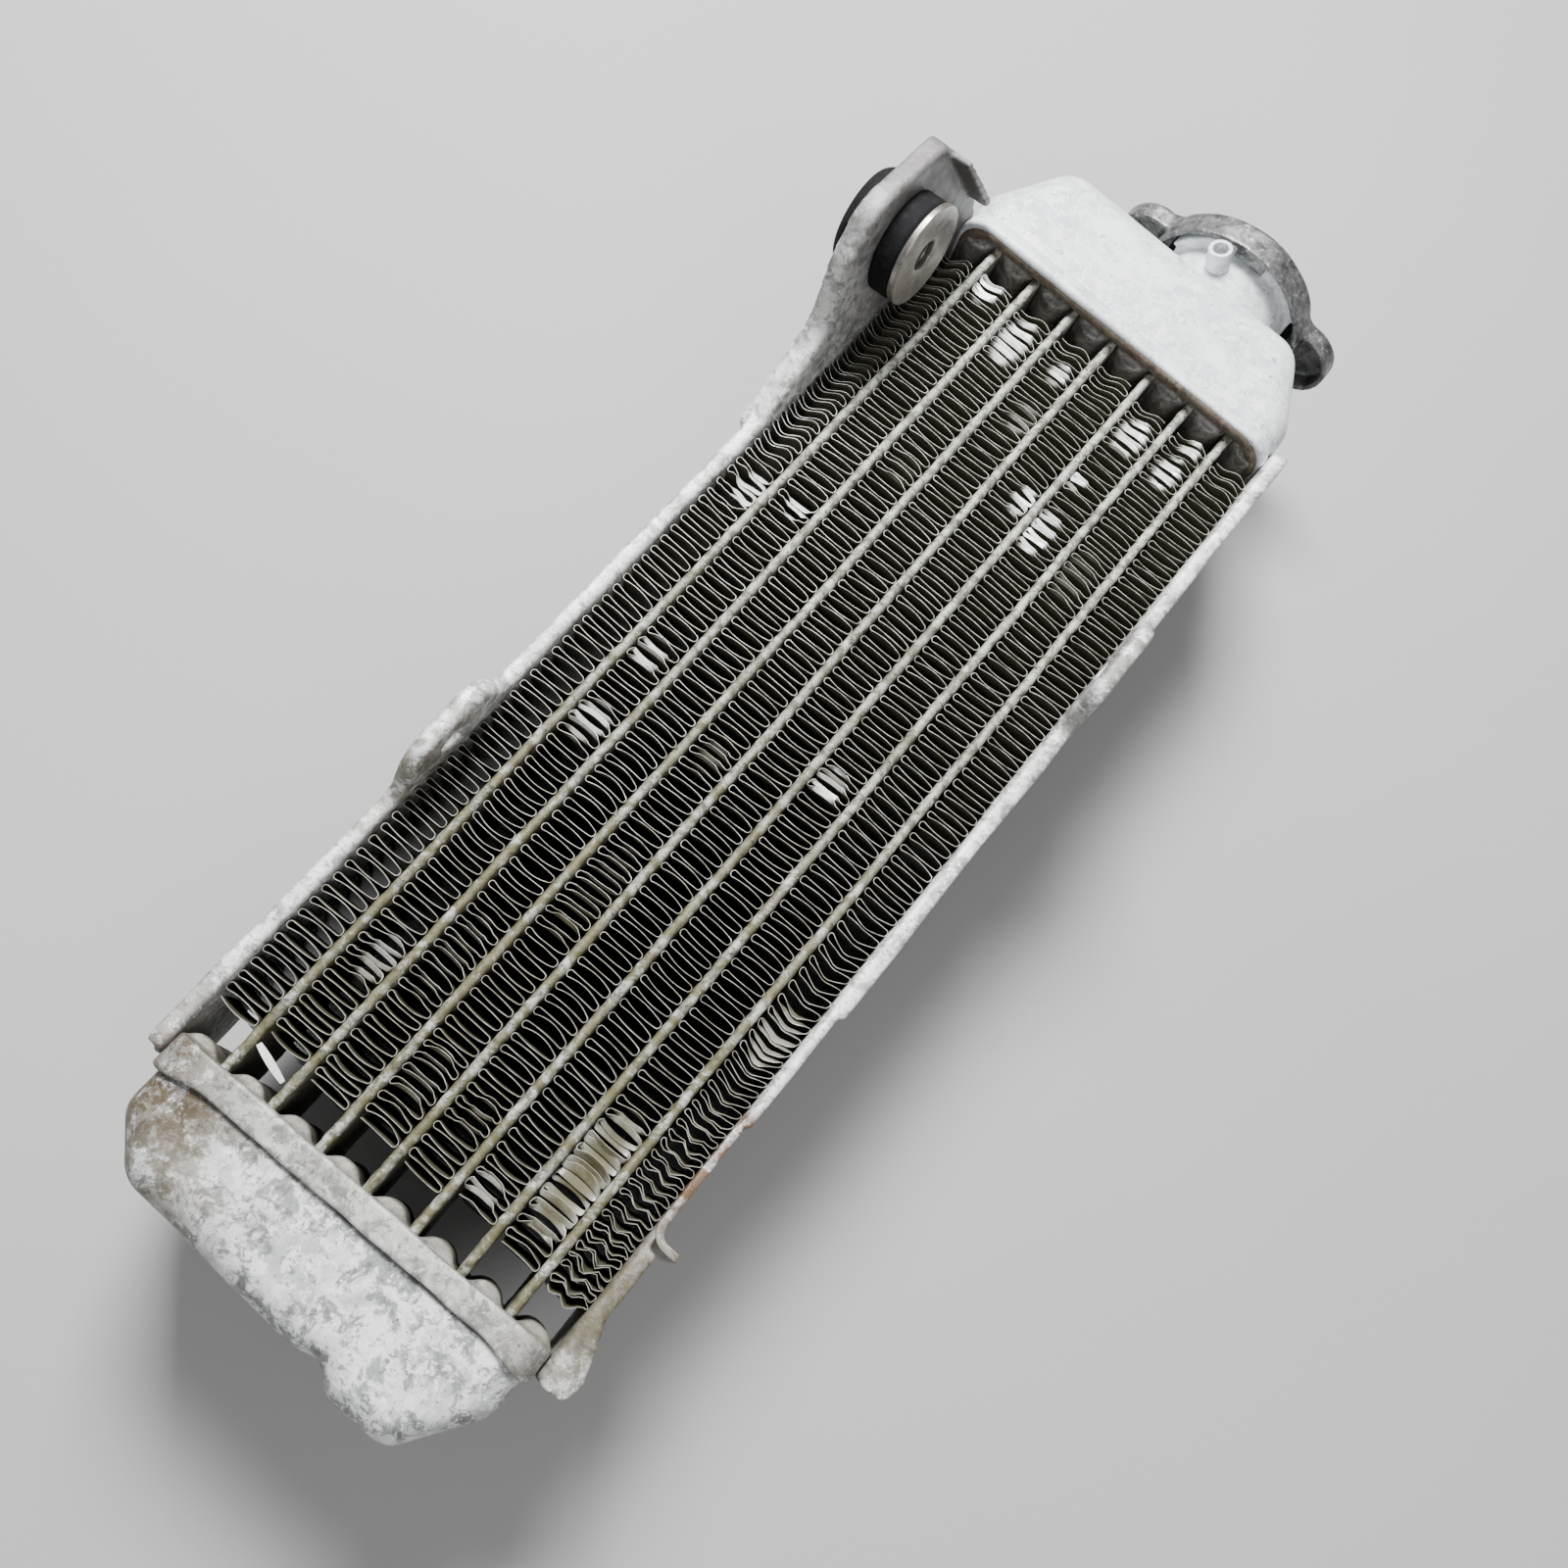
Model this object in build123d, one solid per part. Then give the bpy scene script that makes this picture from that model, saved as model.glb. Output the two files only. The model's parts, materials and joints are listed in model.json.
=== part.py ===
from build123d import *
import math
import os

# Motorcycle coolant radiator lying on its back.
# +X runs across the core, +Y runs along the tubes towards the filler cap, and +Z points out of
# the front face of the core. Everything is drawn about the centre of that front face, and is
# moved at the end so that the origin is the middle of the bottom of the whole radiator.

# ---- core ----
TUBE_COUNT = 7
TUBE_PITCH = 11.0
TUBE_THICKNESS = 2.0
TUBE_WALL = 0.3
CORE_DEPTH = 30.0
CORE_LENGTH = 236.0            # clear length of tube between the two header plates
TUBE_END = 3.0                 # length of tube inside each tank
FIN_PERIOD = 3.0               # length of one full wave of the corrugated strip
FIN_SHEET = 0.15
FIN_LENGTH = 226.0
FIN_MIDDLE_Y = 0.5             # the fins stop a little further from the bottom header
FIN_RECESS = 0.6               # fin edges lie this far behind the tube edges
FIN_CLEARANCE = 0.02
FIN_COUNT = TUBE_COUNT + 1
FIN_SPAN = TUBE_PITCH - TUBE_THICKNESS
CORE_HALF_WIDTH = FIN_COUNT * TUBE_PITCH / 2 - TUBE_THICKNESS / 2
CORE_HALF_LENGTH = CORE_LENGTH / 2

# ---- headers and tanks ----
SHEET = 1.5                    # header sheet
HEADER_CORNER = 7.0
TANK_WALL = 1.6
HEADER_END = CORE_HALF_LENGTH + SHEET
HEADER_BUMP_RADIUS = 4.2
HEADER_BUMP_RISE = 2.2
TANK_OVERHANG = 3.0            # tanks stand this far proud of the core, front and back
BOTTOM_RIM = 4.0
TOP_RIM = 4.5
BOTTOM_TANK_HALF_WIDTH = CORE_HALF_WIDTH - SHEET
BOTTOM_TANK_LENGTH = 27.5
TOP_TANK_END = CORE_HALF_LENGTH + 29.5
TOP_SHOULDER = 11.0            # straight part of the sides of the top tank
TOP_TAPER = 10.0               # how far each side leans in above it
TOP_CORNER = 8.0
BOTTOM_EDGE = 6.0              # rounding of the long edges of the tanks
TOP_EDGE = 7.0
TOP_SKIRT_START = CORE_HALF_LENGTH - 1.0
MIDDLE_Z = -CORE_DEPTH / 2

# ---- filler neck, overflow and hose nipples ----
NECK_X = 11.5
NECK_RADIUS = 16.0
NECK_BORE_RADIUS = 14.2
SEAT_HOLE_RADIUS = 9.5
SEAT_Y = TOP_TANK_END + 1.5
NECK_TOP_Y = TOP_TANK_END + 13.5
CAM_RADIUS = 18.8
CAM_RISE = 2.0
CAM_LOW_Y = NECK_TOP_Y - 3.4
CAM_NOTCH_HALF_ANGLE = 24.0
OVERFLOW_RADIUS = 2.8
OVERFLOW_BORE_RADIUS = 1.8
OVERFLOW_LEAN = 19.0
OVERFLOW_Y = TOP_TANK_END + 4.5
OVERFLOW_TIP = 21.5            # distance of its tip from the axis of the neck
HOSE_RADIUS = 8.0
HOSE_BORE_RADIUS = 6.5
HOSE_LENGTH = 20.0
HOSE_SEAT_LENGTH = 16.0        # full diameter, where the hose sits
HOSE_ROOT_RADIUS = 7.5         # slightly smaller tube between it and the tank
HOSE_OFFSET_X = 22.0           # outlet to the right, inlet to the left
INLET_Y = CORE_HALF_LENGTH + 14.5
OUTLET_Y = -CORE_HALF_LENGTH - 16.5

# ---- side plates ----
PLATE = 1.6
FLANGE = 3.6                   # outside width of the channel
EAR_FLANGE = 5.0               # depth of the rim round the mounting ear
PLATE_FRONT = 1.2
PLATE_BACK = -32.0
PLATE_END = 123.5
BEND_RADIUS = 1.4
PLATE_CORNER = 3.5
LOBE_HEIGHT = 12.0
LOBE_HALF_LENGTH = 9.5
LOBE_HOLE_RADIUS = 3.2
LOBE_HOLE_Z = 4.8
LOBE_FOOT_RADIUS = 5.0
LOBE_CORNER_RADIUS = 7.0
LEFT_LOBE_Y = -48.0
RIGHT_LOBE_Y = 51.0
NOTCH_START = -94.5
NOTCH_END = -67.0
NOTCH_DEPTH = 3.7              # how far the front flange is cut back there
NARROW_LENGTH = 27.0           # narrow front flange above the notch
FOOT_START = -107.0
FOOT_WIDEST = -119.0
BRACKET_BACK = -24.0
BRACKET_LEG = 6.0
EAR_LEAN = 8.0
EAR_FOLD_Z = -2.0              # height of its fold line
EAR_BASE_START = 44.0
EAR_BASE_END = 122.5
EAR_LIP_WIDTH = 5.0            # lip at its upper end, turned towards the core
GROMMET_Y = 90.0
GROMMET_HEIGHT = 20.5          # above the fold line of the ear
GROMMET_RADIUS = 11.2
GROMMET_OUTER_RADIUS = 11.6
GROMMET_GROOVE_RADIUS = 9.5
GROMMET_INNER_LENGTH = 5.0
GROMMET_OUTER_LENGTH = 8.0
COLLAR_RADIUS = 5.0
COLLAR_BORE_RADIUS = 3.3
WASHER_RADIUS = 11.3
WASHER_THICKNESS = 1.5

# ---- pressure cap ----
CAP_SHEET = 1.2
CAP_RADIUS = 21.3
CAP_SKIRT_Y = NECK_TOP_Y - 5.4
CAP_INSIDE_Y = NECK_TOP_Y + 1.0
CAP_TOP_Y = CAP_INSIDE_Y + CAP_SHEET
CAP_EAR_REACH = 30.8
CAP_EAR_WIDTH = 17.0
CAP_EAR_DEPTH = 5.7
CAP_WAIST_RADIUS = 4.0
CAP_EDGE_RADIUS = 1.5
CAP_TAB_REACH = 17.2
CAP_TAB_HALF_WIDTH = 4.0
CAP_TAB_THICKNESS = 1.2
GASKET_RADIUS = CAM_RADIUS - 0.8
SMALL_GAP = 0.1                # between parts that only rest on each other
BELL_RADIUS = 8.6
BELL_WALL = 0.8
BELL_FLANGE_RADIUS = 12.0
BELL_END_Y = NECK_TOP_Y - 6.0
RIVET_RADIUS = 1.5
RIVET_HEAD_RADIUS = 4.0
VALVE_RADIUS = 12.6
VALVE_SHEET = 1.2
SEAL_THICKNESS = 1.6
SPRING_RADIUS = 10.4
SPRING_WIRE_RADIUS = 0.7
SPRING_TURNS = 3
VACUUM_RADIUS = 4.5
VACUUM_HOLE_RADIUS = 2.2
VACUUM_STEM_RADIUS = 0.8
VACUUM_STEM_LENGTH = 4.5
VACUUM_HEAD_RADIUS = 3.0
VACUUM_HEAD = 0.6
VACUUM_SPRING_RADIUS = 2.6
VACUUM_SPRING_WIRE_RADIUS = 0.2
VACUUM_SPRING_TURNS = 3


def column_x(index):
    """Middle of one fin column, counted from the left."""
    return (index - TUBE_COUNT / 2) * TUBE_PITCH


def tube_x(index):
    """Middle of one tube, counted from the left."""
    return (index - (TUBE_COUNT - 1) / 2) * TUBE_PITCH


def turned_to_y(shape, x=0.0, z=MIDDLE_Z):
    """Shape drawn about +Z, turned so that its axis runs along +Y at the given place."""
    return Pos(x, 0, z) * Rot(-90, 0, 0) * shape


def ring(outer, inner, start, end):
    """Plain ring about +Z between two heights."""
    height = end - start
    lift = Pos(0, 0, start + height / 2)
    return lift * (Cylinder(outer, height) - Cylinder(inner, height + 1))


def disc(radius, start, end):
    """Plain disc about +Z between two heights."""
    height = end - start
    return Pos(0, 0, start + height / 2) * Cylinder(radius, height)


def block(x0, x1, y0, y1, z0, z1):
    """Box between two opposite corners."""
    middle = Pos((x0 + x1) / 2, (y0 + y1) / 2, (z0 + z1) / 2)
    return middle * Box(x1 - x0, y1 - y0, z1 - z0)


# ---------------------------------------------------------------- core

def flat_tube(index):
    """Flat tube with round front and back edges, open at both ends."""
    length = CORE_LENGTH + 2 * TUBE_END
    outside = SlotOverall(CORE_DEPTH, TUBE_THICKNESS, rotation=90)
    inside = SlotOverall(CORE_DEPTH - 2 * TUBE_WALL, TUBE_THICKNESS - 2 * TUBE_WALL, rotation=90)
    section = Plane.XZ * Pos(0, MIDDLE_Z) * (outside - inside)
    return Pos(tube_x(index), length / 2, 0) * extrude(section, length)


def fin_strip(index):
    """Corrugated strip: straight strands across the column joined by round crests."""
    half_step = FIN_PERIOD / 2
    strands = int(FIN_LENGTH / half_step)
    reach = FIN_SPAN / 2 - FIN_CLEARANCE - FIN_SHEET / 2 - half_step / 2
    sides = []
    for side in (FIN_SHEET / 2, -FIN_SHEET / 2):
        edges = []
        for strand in range(strands):
            way = 1 if strand % 2 == 0 else -1
            y = strand * half_step + way * side
            edges.append(Line((-way * reach, y), (way * reach, y)))
            if strand < strands - 1:
                next_y = (strand + 1) * half_step - way * side
                crest = reach + half_step / 2 - way * side
                middle = strand * half_step + half_step / 2
                turn = [(way * reach, y), (way * crest, middle), (way * reach, next_y)]
                edges.append(ThreePointArc(*turn))
        sides.append(edges)
    front, back = sides
    start_cap = Line(front[0] @ 0, back[0] @ 0)
    end_cap = Line(front[-1] @ 1, back[-1] @ 1)
    outline = Wire([start_cap, *front, end_cap, *back])
    strip = extrude(Face(outline), CORE_DEPTH - 2 * FIN_RECESS)
    first_y = FIN_MIDDLE_Y - (strands - 1) * half_step / 2
    return Pos(column_x(index), first_y, -CORE_DEPTH + FIN_RECESS) * strip


# ---------------------------------------------------------------- headers and tanks

def header_pan(half_width, overhang, rim_length):
    """Header drawn at the top end: plate, rim away from the core, ridges towards the core."""
    depth = CORE_DEPTH + 2 * overhang
    y0 = CORE_HALF_LENGTH
    outline = RectangleRounded(2 * half_width, depth, HEADER_CORNER)
    inside = offset(outline, -SHEET)
    section = Plane.XZ * Pos(0, MIDDLE_Z) * outline
    hollow = Plane.XZ * Pos(0, MIDDLE_Z) * inside
    pan = Pos(0, y0 + SHEET + rim_length, 0) * extrude(section, SHEET + rim_length)
    pan -= Pos(0, y0 + SHEET + rim_length, 0) * extrude(hollow, rim_length)
    centre = y0 - HEADER_BUMP_RISE + HEADER_BUMP_RADIUS
    for index in range(FIN_COUNT):
        ridge = Pos(column_x(index), centre, MIDDLE_Z) * Cylinder(HEADER_BUMP_RADIUS, CORE_DEPTH - 2)
        pan += ridge & block(-half_width, half_width, y0 - 5, y0 + SHEET, -60, 20)
    slot = Plane.XZ * Pos(0, MIDDLE_Z) * SlotOverall(CORE_DEPTH, TUBE_THICKNESS, rotation=90)
    for index in range(TUBE_COUNT):
        pan -= Pos(tube_x(index), y0 + 30, 0) * extrude(slot, 60)
    return pan


def bottom_header():
    """Its rim wraps round the outside of the tank."""
    pan = header_pan(CORE_HALF_WIDTH, TANK_OVERHANG + SHEET, BOTTOM_RIM)
    return mirror(pan, about=Plane.XZ)


def top_header():
    """Its rim stands inside the skirt of the tank."""
    return header_pan(CORE_HALF_WIDTH - TANK_WALL, TANK_OVERHANG, TOP_RIM)


def tank_outline(points, radii):
    """Closed outline of a tank seen from the front, with rounded corners."""
    face = make_face(Polyline(*points, close=True))
    for (x, y), radius in radii:
        corner = face.vertices().sort_by_distance((x, y, 0))[0]
        face = fillet(corner, radius)
    return face


def long_edges(solid, open_side):
    """Front and back edges of a solid, except those round its mouth."""
    by_height = solid.faces().sort_by(Axis.Z)
    mouth = solid.faces().sort_by(Axis.Y)[-1 if open_side > 0 else 0]
    mouth_y = mouth.center().Y
    edges = by_height[0].edges() + by_height[-1].edges()
    return [edge for edge in edges if abs(edge.center().Y - mouth_y) > 0.01]


def tank_shell(face, front, back, edge_radius, open_side):
    """Hollow tank from its outline; open_side is +1 when the mouth looks along +Y."""
    depth = front - back
    outside = Pos(0, 0, back) * extrude(face, depth)
    outside = fillet(long_edges(outside, open_side), edge_radius)
    inside = Pos(0, 0, back + TANK_WALL) * extrude(offset(face, -TANK_WALL), depth - 2 * TANK_WALL)
    inside = fillet(long_edges(inside, open_side), edge_radius - TANK_WALL)
    mouth = inside.faces().sort_by(Axis.Y)[-1 if open_side > 0 else 0]
    inside += extrude(mouth, 3 * TANK_WALL)
    return outside - inside


def bottom_tank():
    """Stamped shell whose lower edge steps down past a small relief right of the middle."""
    w = BOTTOM_TANK_HALF_WIDTH
    mouth = -HEADER_END
    end = mouth - BOTTOM_TANK_LENGTH
    left_shoulder = (-w, end + 14)
    left_corner = (-w + 9, end + 5)
    relief_start = (8, end + 2.2)
    relief = (13, end + 3.4)
    relief_end = (18, end)
    right_corner = (31, end)
    right_shoulder = (w, end + 15)
    points = [(-w, mouth), left_shoulder, left_corner, relief_start, relief, relief_end,
              right_corner, right_shoulder, (w, mouth)]
    radii = [(left_shoulder, 6), (left_corner, 8), (relief_start, 3), (relief, 3),
             (relief_end, 3), (right_corner, 6), (right_shoulder, 6)]
    face = tank_outline(points, radii)
    front = TANK_OVERHANG
    back = -CORE_DEPTH - TANK_OVERHANG
    shell = tank_shell(face, front, back, BOTTOM_EDGE, 1)
    shell -= block(-w - 1, w + 1, mouth, mouth + 5, back - 1, front + 1)
    hole = Pos(HOSE_OFFSET_X, OUTLET_Y, back) * Cylinder(HOSE_ROOT_RADIUS, 10)
    return shell - hole


def top_tank():
    """Tapered shell with a skirt over the header rim and a hole for the filler neck."""
    w = CORE_HALF_WIDTH
    start = TOP_SKIRT_START
    end = TOP_TANK_END
    shoulder = start + TOP_SHOULDER
    corners = [(-w, shoulder), (-w + TOP_TAPER, end), (w - TOP_TAPER, end), (w, shoulder)]
    points = [(-w, start), *corners, (w, start)]
    radii = [(corner, TOP_CORNER) for corner in corners]
    face = tank_outline(points, radii)
    front = TANK_OVERHANG + TANK_WALL
    back = -CORE_DEPTH - TANK_OVERHANG - TANK_WALL
    shell = tank_shell(face, front, back, TOP_EDGE, -1)
    neck_hole = turned_to_y(disc(NECK_RADIUS, end - 8, end + 2), NECK_X)
    hose_hole = Pos(-HOSE_OFFSET_X, INLET_Y, back) * Cylinder(HOSE_ROOT_RADIUS, 10)
    return shell - neck_hole - hose_hole


def hose_nipple(x, y, back):
    """Straight hose spigot through the back wall of a tank."""
    root = back + TANK_WALL
    tip = -CORE_DEPTH - TANK_OVERHANG - TANK_WALL - HOSE_LENGTH
    seat_end = tip + HOSE_SEAT_LENGTH
    tube = ring(HOSE_RADIUS, HOSE_BORE_RADIUS, tip, seat_end)
    tube += ring(HOSE_ROOT_RADIUS, HOSE_BORE_RADIUS, seat_end, root)
    return Pos(x, y, 0) * tube


# ---------------------------------------------------------------- filler neck

def filler_neck():
    """Neck with a valve seat inside and a cam rim, cut by two notches, round its mouth."""
    root = TOP_TANK_END - TANK_WALL
    neck = ring(NECK_RADIUS, NECK_BORE_RADIUS, root, NECK_TOP_Y)
    neck += ring(NECK_BORE_RADIUS + 0.5, SEAT_HOLE_RADIUS, root, SEAT_Y)
    cam = ring(CAM_RADIUS, NECK_BORE_RADIUS, CAM_LOW_Y - CAM_RISE, NECK_TOP_Y)
    cam -= cam_underside()
    neck += cam
    half = CAM_RADIUS * math.sin(math.radians(CAM_NOTCH_HALF_ANGLE))
    notch = block(NECK_RADIUS, CAM_RADIUS + 5, -half, half, CAM_LOW_Y - 5, NECK_TOP_Y + 1)
    neck -= notch
    neck -= Rot(0, 0, 180) * notch
    neck = turned_to_y(neck, NECK_X)
    drill = disc(OVERFLOW_BORE_RADIUS, 0, 2 * NECK_RADIUS)
    return neck - overflow_place() * drill


def cam_underside():
    """What is cut from below the cam rim: each half slopes up towards its notch."""
    slope = math.degrees(math.atan(CAM_RISE / CAM_RADIUS))
    cutter = None
    for side in (1, -1):
        half = Rot(0, side * slope, 0) * Pos(0, side * 20, -20) * Box(60, 40, 40)
        half &= Pos(0, side * 20, 0) * Box(60, 40, 80)
        cutter = half if cutter is None else cutter + half
    cutter -= Cylinder(NECK_RADIUS, 120)
    return Pos(0, 0, CAM_LOW_Y) * cutter


def overflow_place():
    """Start of the overflow nipple on the axis of the neck, pointing along it."""
    return Pos(NECK_X, OVERFLOW_Y, MIDDLE_Z) * Rot(0, -OVERFLOW_LEAN, 0)


def overflow_nipple():
    """Short stub that takes the overflow hose."""
    start = NECK_BORE_RADIUS + 0.6
    stub = overflow_place() * ring(OVERFLOW_RADIUS, OVERFLOW_BORE_RADIUS, start, OVERFLOW_TIP)
    return stub - turned_to_y(disc(NECK_RADIUS, SEAT_Y, NECK_TOP_Y), NECK_X)


# ---------------------------------------------------------------- side plates

def lobe_points(y):
    """Front edge of a mounting lobe, from its lower to its upper foot."""
    top = PLATE_FRONT + LOBE_HEIGHT - 1
    return [(y - LOBE_HALF_LENGTH - 5, PLATE_FRONT), (y - LOBE_HALF_LENGTH, top),
            (y + LOBE_HALF_LENGTH, top), (y + LOBE_HALF_LENGTH + 5, PLATE_FRONT)]


def pressed_tray(face, depth, open_blocks):
    """Sheet with a rim turned outwards all round, except inside the given blocks."""
    body = extrude(face, depth)
    body = fillet(body.faces().sort_by(Axis.Z)[0].edges(), BEND_RADIUS)
    pocket = Pos(0, 0, PLATE) * extrude(offset(face, -PLATE), depth)
    body -= pocket
    for opening in open_blocks:
        body -= opening
    return body


def plate_channel(lobe_y, front_gap):
    """Channel beside the outer fins, with its lobe; drawn for the right-hand side."""
    lobe = lobe_points(lobe_y)
    points = [(-PLATE_END, PLATE_BACK), (-PLATE_END, PLATE_FRONT), *lobe,
              (PLATE_END, PLATE_FRONT), (PLATE_END, PLATE_BACK)]
    face = make_face(Polyline(*points, close=True))
    radii = (LOBE_FOOT_RADIUS, LOBE_CORNER_RADIUS, LOBE_CORNER_RADIUS, LOBE_FOOT_RADIUS)
    for point, radius in zip(lobe, radii):
        corner = face.vertices().sort_by_distance((*point, 0))[0]
        face = fillet(corner, radius)
    for point in ((-PLATE_END, PLATE_FRONT), (PLATE_END, PLATE_FRONT)):
        corner = face.vertices().sort_by_distance((*point, 0))[0]
        face = fillet(corner, PLATE_CORNER)
    opening = block(-4, 4, PLATE_BACK + PLATE, PLATE_FRONT - PLATE, PLATE, PLATE + 10)
    tray = pressed_tray(face, FLANGE, [Pos(PLATE_END, 0, 0) * opening, Pos(-PLATE_END, 0, 0) * opening])
    if front_gap:
        start, end = front_gap
        tray -= block(start, end, -NOTCH_DEPTH * 2, NOTCH_DEPTH * 2, PLATE, PLATE + 10)
    hole = Pos(lobe_y, LOBE_HOLE_Z, 0) * Cylinder(LOBE_HOLE_RADIUS, 20)
    return Pos(CORE_HALF_WIDTH, 0, 0) * (Plane.YZ * (tray - hole))


def mounting_ear():
    """Dished ear for the rubber mount, leaning outwards; drawn for the right-hand side."""
    points = [(EAR_BASE_START, 0), (EAR_BASE_START, 2.5), (66, 13), (71, 29), (79, 38), (104, 36),
              (EAR_BASE_END, 5), (EAR_BASE_END, 0)]
    radii = [((66, 13), 9), ((71, 29), 9), ((79, 38), 10), ((104, 36), 5), ((EAR_BASE_END, 5), 3)]
    face = make_face(Polyline(*points, close=True))
    for point, radius in radii:
        corner = face.vertices().sort_by_distance((*point, 0))[0]
        face = fillet(corner, radius)
    foot = block(EAR_BASE_START + PLATE, EAR_BASE_END - PLATE, -2, 2, PLATE, PLATE + 10)
    tray = pressed_tray(face, EAR_FLANGE, [foot])
    tray -= Pos(GROMMET_Y, GROMMET_HEIGHT, 0) * Cylinder(GROMMET_GROOVE_RADIUS, 20)
    lip = make_face(Polyline((105.5, 33.5), (119, 10.9), (117.6, 10.1), (104.1, 32.7), close=True))
    tray += Pos(0, 0, -EAR_LIP_WIDTH) * extrude(lip, EAR_LIP_WIDTH + PLATE)
    return ear_place() * (Plane.YZ * tray)


def ear_place():
    """The fold line of the ear, with the plane beyond it leaning outwards."""
    return Pos(CORE_HALF_WIDTH, 0, EAR_FOLD_Z) * Rot(0, EAR_LEAN, 0)


def left_side_plate():
    """Left channel with its lobe and the large mounting ear."""
    channel = plate_channel(LEFT_LOBE_Y, (EAR_BASE_START + 3, EAR_BASE_END - 3))
    return mirror(channel + mounting_ear(), about=Plane.YZ)


def right_side_plate():
    """Right channel, cut away for its lower bracket and spreading into a foot at the bottom."""
    channel = plate_channel(RIGHT_LOBE_Y, (NOTCH_START, NOTCH_END))
    inner = CORE_HALF_WIDTH + PLATE
    outer = CORE_HALF_WIDTH + FLANGE
    narrow = (outer + inner) / 2
    channel -= block(narrow, outer + 1, NOTCH_END - 1, NOTCH_END + NARROW_LENGTH, -3, PLATE_FRONT + 1)
    start = (outer - 0.5, FOOT_START)
    widest = (outer + 4, FOOT_WIDEST)
    corner = (outer + 3, -PLATE_END)
    foot = make_face(Polyline((inner - 0.5, FOOT_START), start, widest, corner,
                              (inner - 0.5, -PLATE_END), close=True))
    foot = fillet(foot.vertices().sort_by_distance((*corner, 0))[0], 2.2)
    foot = fillet(foot.vertices().sort_by_distance((*widest, 0))[0], 2.0)
    channel += Pos(0, 0, PLATE_FRONT - PLATE) * extrude(foot, PLATE)
    return channel


def lower_right_bracket():
    """Angle strip behind the notch of the right plate, with its lower leg turned outwards."""
    inner = CORE_HALF_WIDTH + PLATE
    start = NOTCH_START + 1
    strip = block(inner, inner + PLATE, start, NOTCH_END - 1, BRACKET_BACK, PLATE_FRONT - 1)
    leg = block(inner, inner + BRACKET_LEG, start, start + PLATE, BRACKET_BACK, PLATE_FRONT)
    bracket = strip + leg
    bend = bracket.edges().filter_by(Axis.Z).sort_by_distance((inner, start, PLATE_FRONT))[0]
    return fillet(bend, PLATE - 0.1)


def ear_fitting(shape):
    """Part drawn about +Z from the inner face of the ear outwards, put on the left ear."""
    on_plate = Plane.YZ * Pos(GROMMET_Y, GROMMET_HEIGHT) * shape
    return mirror(ear_place() * on_plate, about=Plane.YZ)


def mount_grommet():
    """Rubber bush gripping the edge of the hole in the ear."""
    inner_end = -GROMMET_INNER_LENGTH
    outer_end = PLATE + GROMMET_OUTER_LENGTH
    bush = disc(GROMMET_RADIUS, inner_end, 0)
    bush += disc(GROMMET_GROOVE_RADIUS, 0, PLATE)
    bush += disc(GROMMET_OUTER_RADIUS, PLATE, outer_end)
    return ear_fitting(bush - Cylinder(COLLAR_RADIUS, 60))


def mount_collar():
    """Steel sleeve through the bush, for the mounting bolt."""
    start = -GROMMET_INNER_LENGTH
    end = PLATE + GROMMET_OUTER_LENGTH + 0.6
    return ear_fitting(ring(COLLAR_RADIUS, COLLAR_BORE_RADIUS, start, end))


def mount_washer():
    """Wide washer against the inner end of the bush."""
    end = -GROMMET_INNER_LENGTH
    return ear_fitting(ring(WASHER_RADIUS, COLLAR_BORE_RADIUS, end - WASHER_THICKNESS, end))


# ---------------------------------------------------------------- pressure cap

def cap_outline():
    """Round cover with an ear at each side."""
    bar = SlotOverall(2 * CAP_EAR_REACH, CAP_EAR_WIDTH)
    outline = Circle(CAP_RADIUS) + bar
    corners = outline.vertices().filter_by(lambda v: abs(abs(v.Y) - CAP_EAR_WIDTH / 2) < 0.1
                                           and abs(v.X) < CAP_RADIUS)
    return fillet(corners, CAP_WAIST_RADIUS)


def cap_cover():
    """Stamped cover: ears, round skirt and two locking tabs under the cam rim."""
    outline = cap_outline()
    top = Pos(0, 0, CAP_TOP_Y - CAP_EAR_DEPTH) * extrude(outline, CAP_EAR_DEPTH)
    top = fillet(top.faces().sort_by(Axis.Z)[-1].edges(), CAP_EDGE_RADIUS)
    hollow = offset(outline, -CAP_SHEET)
    top -= Pos(0, 0, CAP_TOP_Y - CAP_EAR_DEPTH - 1) * extrude(hollow, CAP_EAR_DEPTH + 1 - CAP_SHEET)
    skirt = ring(CAP_RADIUS, CAP_RADIUS - CAP_SHEET, CAP_SKIRT_Y, CAP_INSIDE_Y + 0.2)
    for side in (1, -1):
        window = block(CAP_RADIUS - 6, CAP_RADIUS + 6, -6, 6, CAP_SKIRT_Y - 1, CAP_TOP_Y - CAP_EAR_DEPTH)
        skirt -= Rot(0, 0, 90 - 90 * side) * window
    cover = top + skirt
    for side in (1, -1):
        tab = block(-CAP_TAB_HALF_WIDTH, CAP_TAB_HALF_WIDTH, CAP_TAB_REACH, CAP_RADIUS - 0.3,
                    CAP_SKIRT_Y, CAP_SKIRT_Y + CAP_TAB_THICKNESS)
        cover += Rot(0, 0, 90 - 90 * side) * tab
    cover -= Cylinder(RIVET_RADIUS + 0.2, 1000)
    return turned_to_y(cover, NECK_X)


def cap_rivet():
    """Rivet that holds the cover and the spring bell together."""
    rivet = disc(RIVET_RADIUS, CAP_INSIDE_Y - BELL_WALL - 1, CAP_TOP_Y + 0.3)
    rivet += disc(RIVET_HEAD_RADIUS, CAP_TOP_Y + 0.2, CAP_TOP_Y + 1.4)
    rivet += disc(2 * RIVET_RADIUS, CAP_INSIDE_Y - BELL_WALL - 1.2, CAP_INSIDE_Y - BELL_WALL - 0.1)
    return turned_to_y(rivet, NECK_X)


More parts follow.
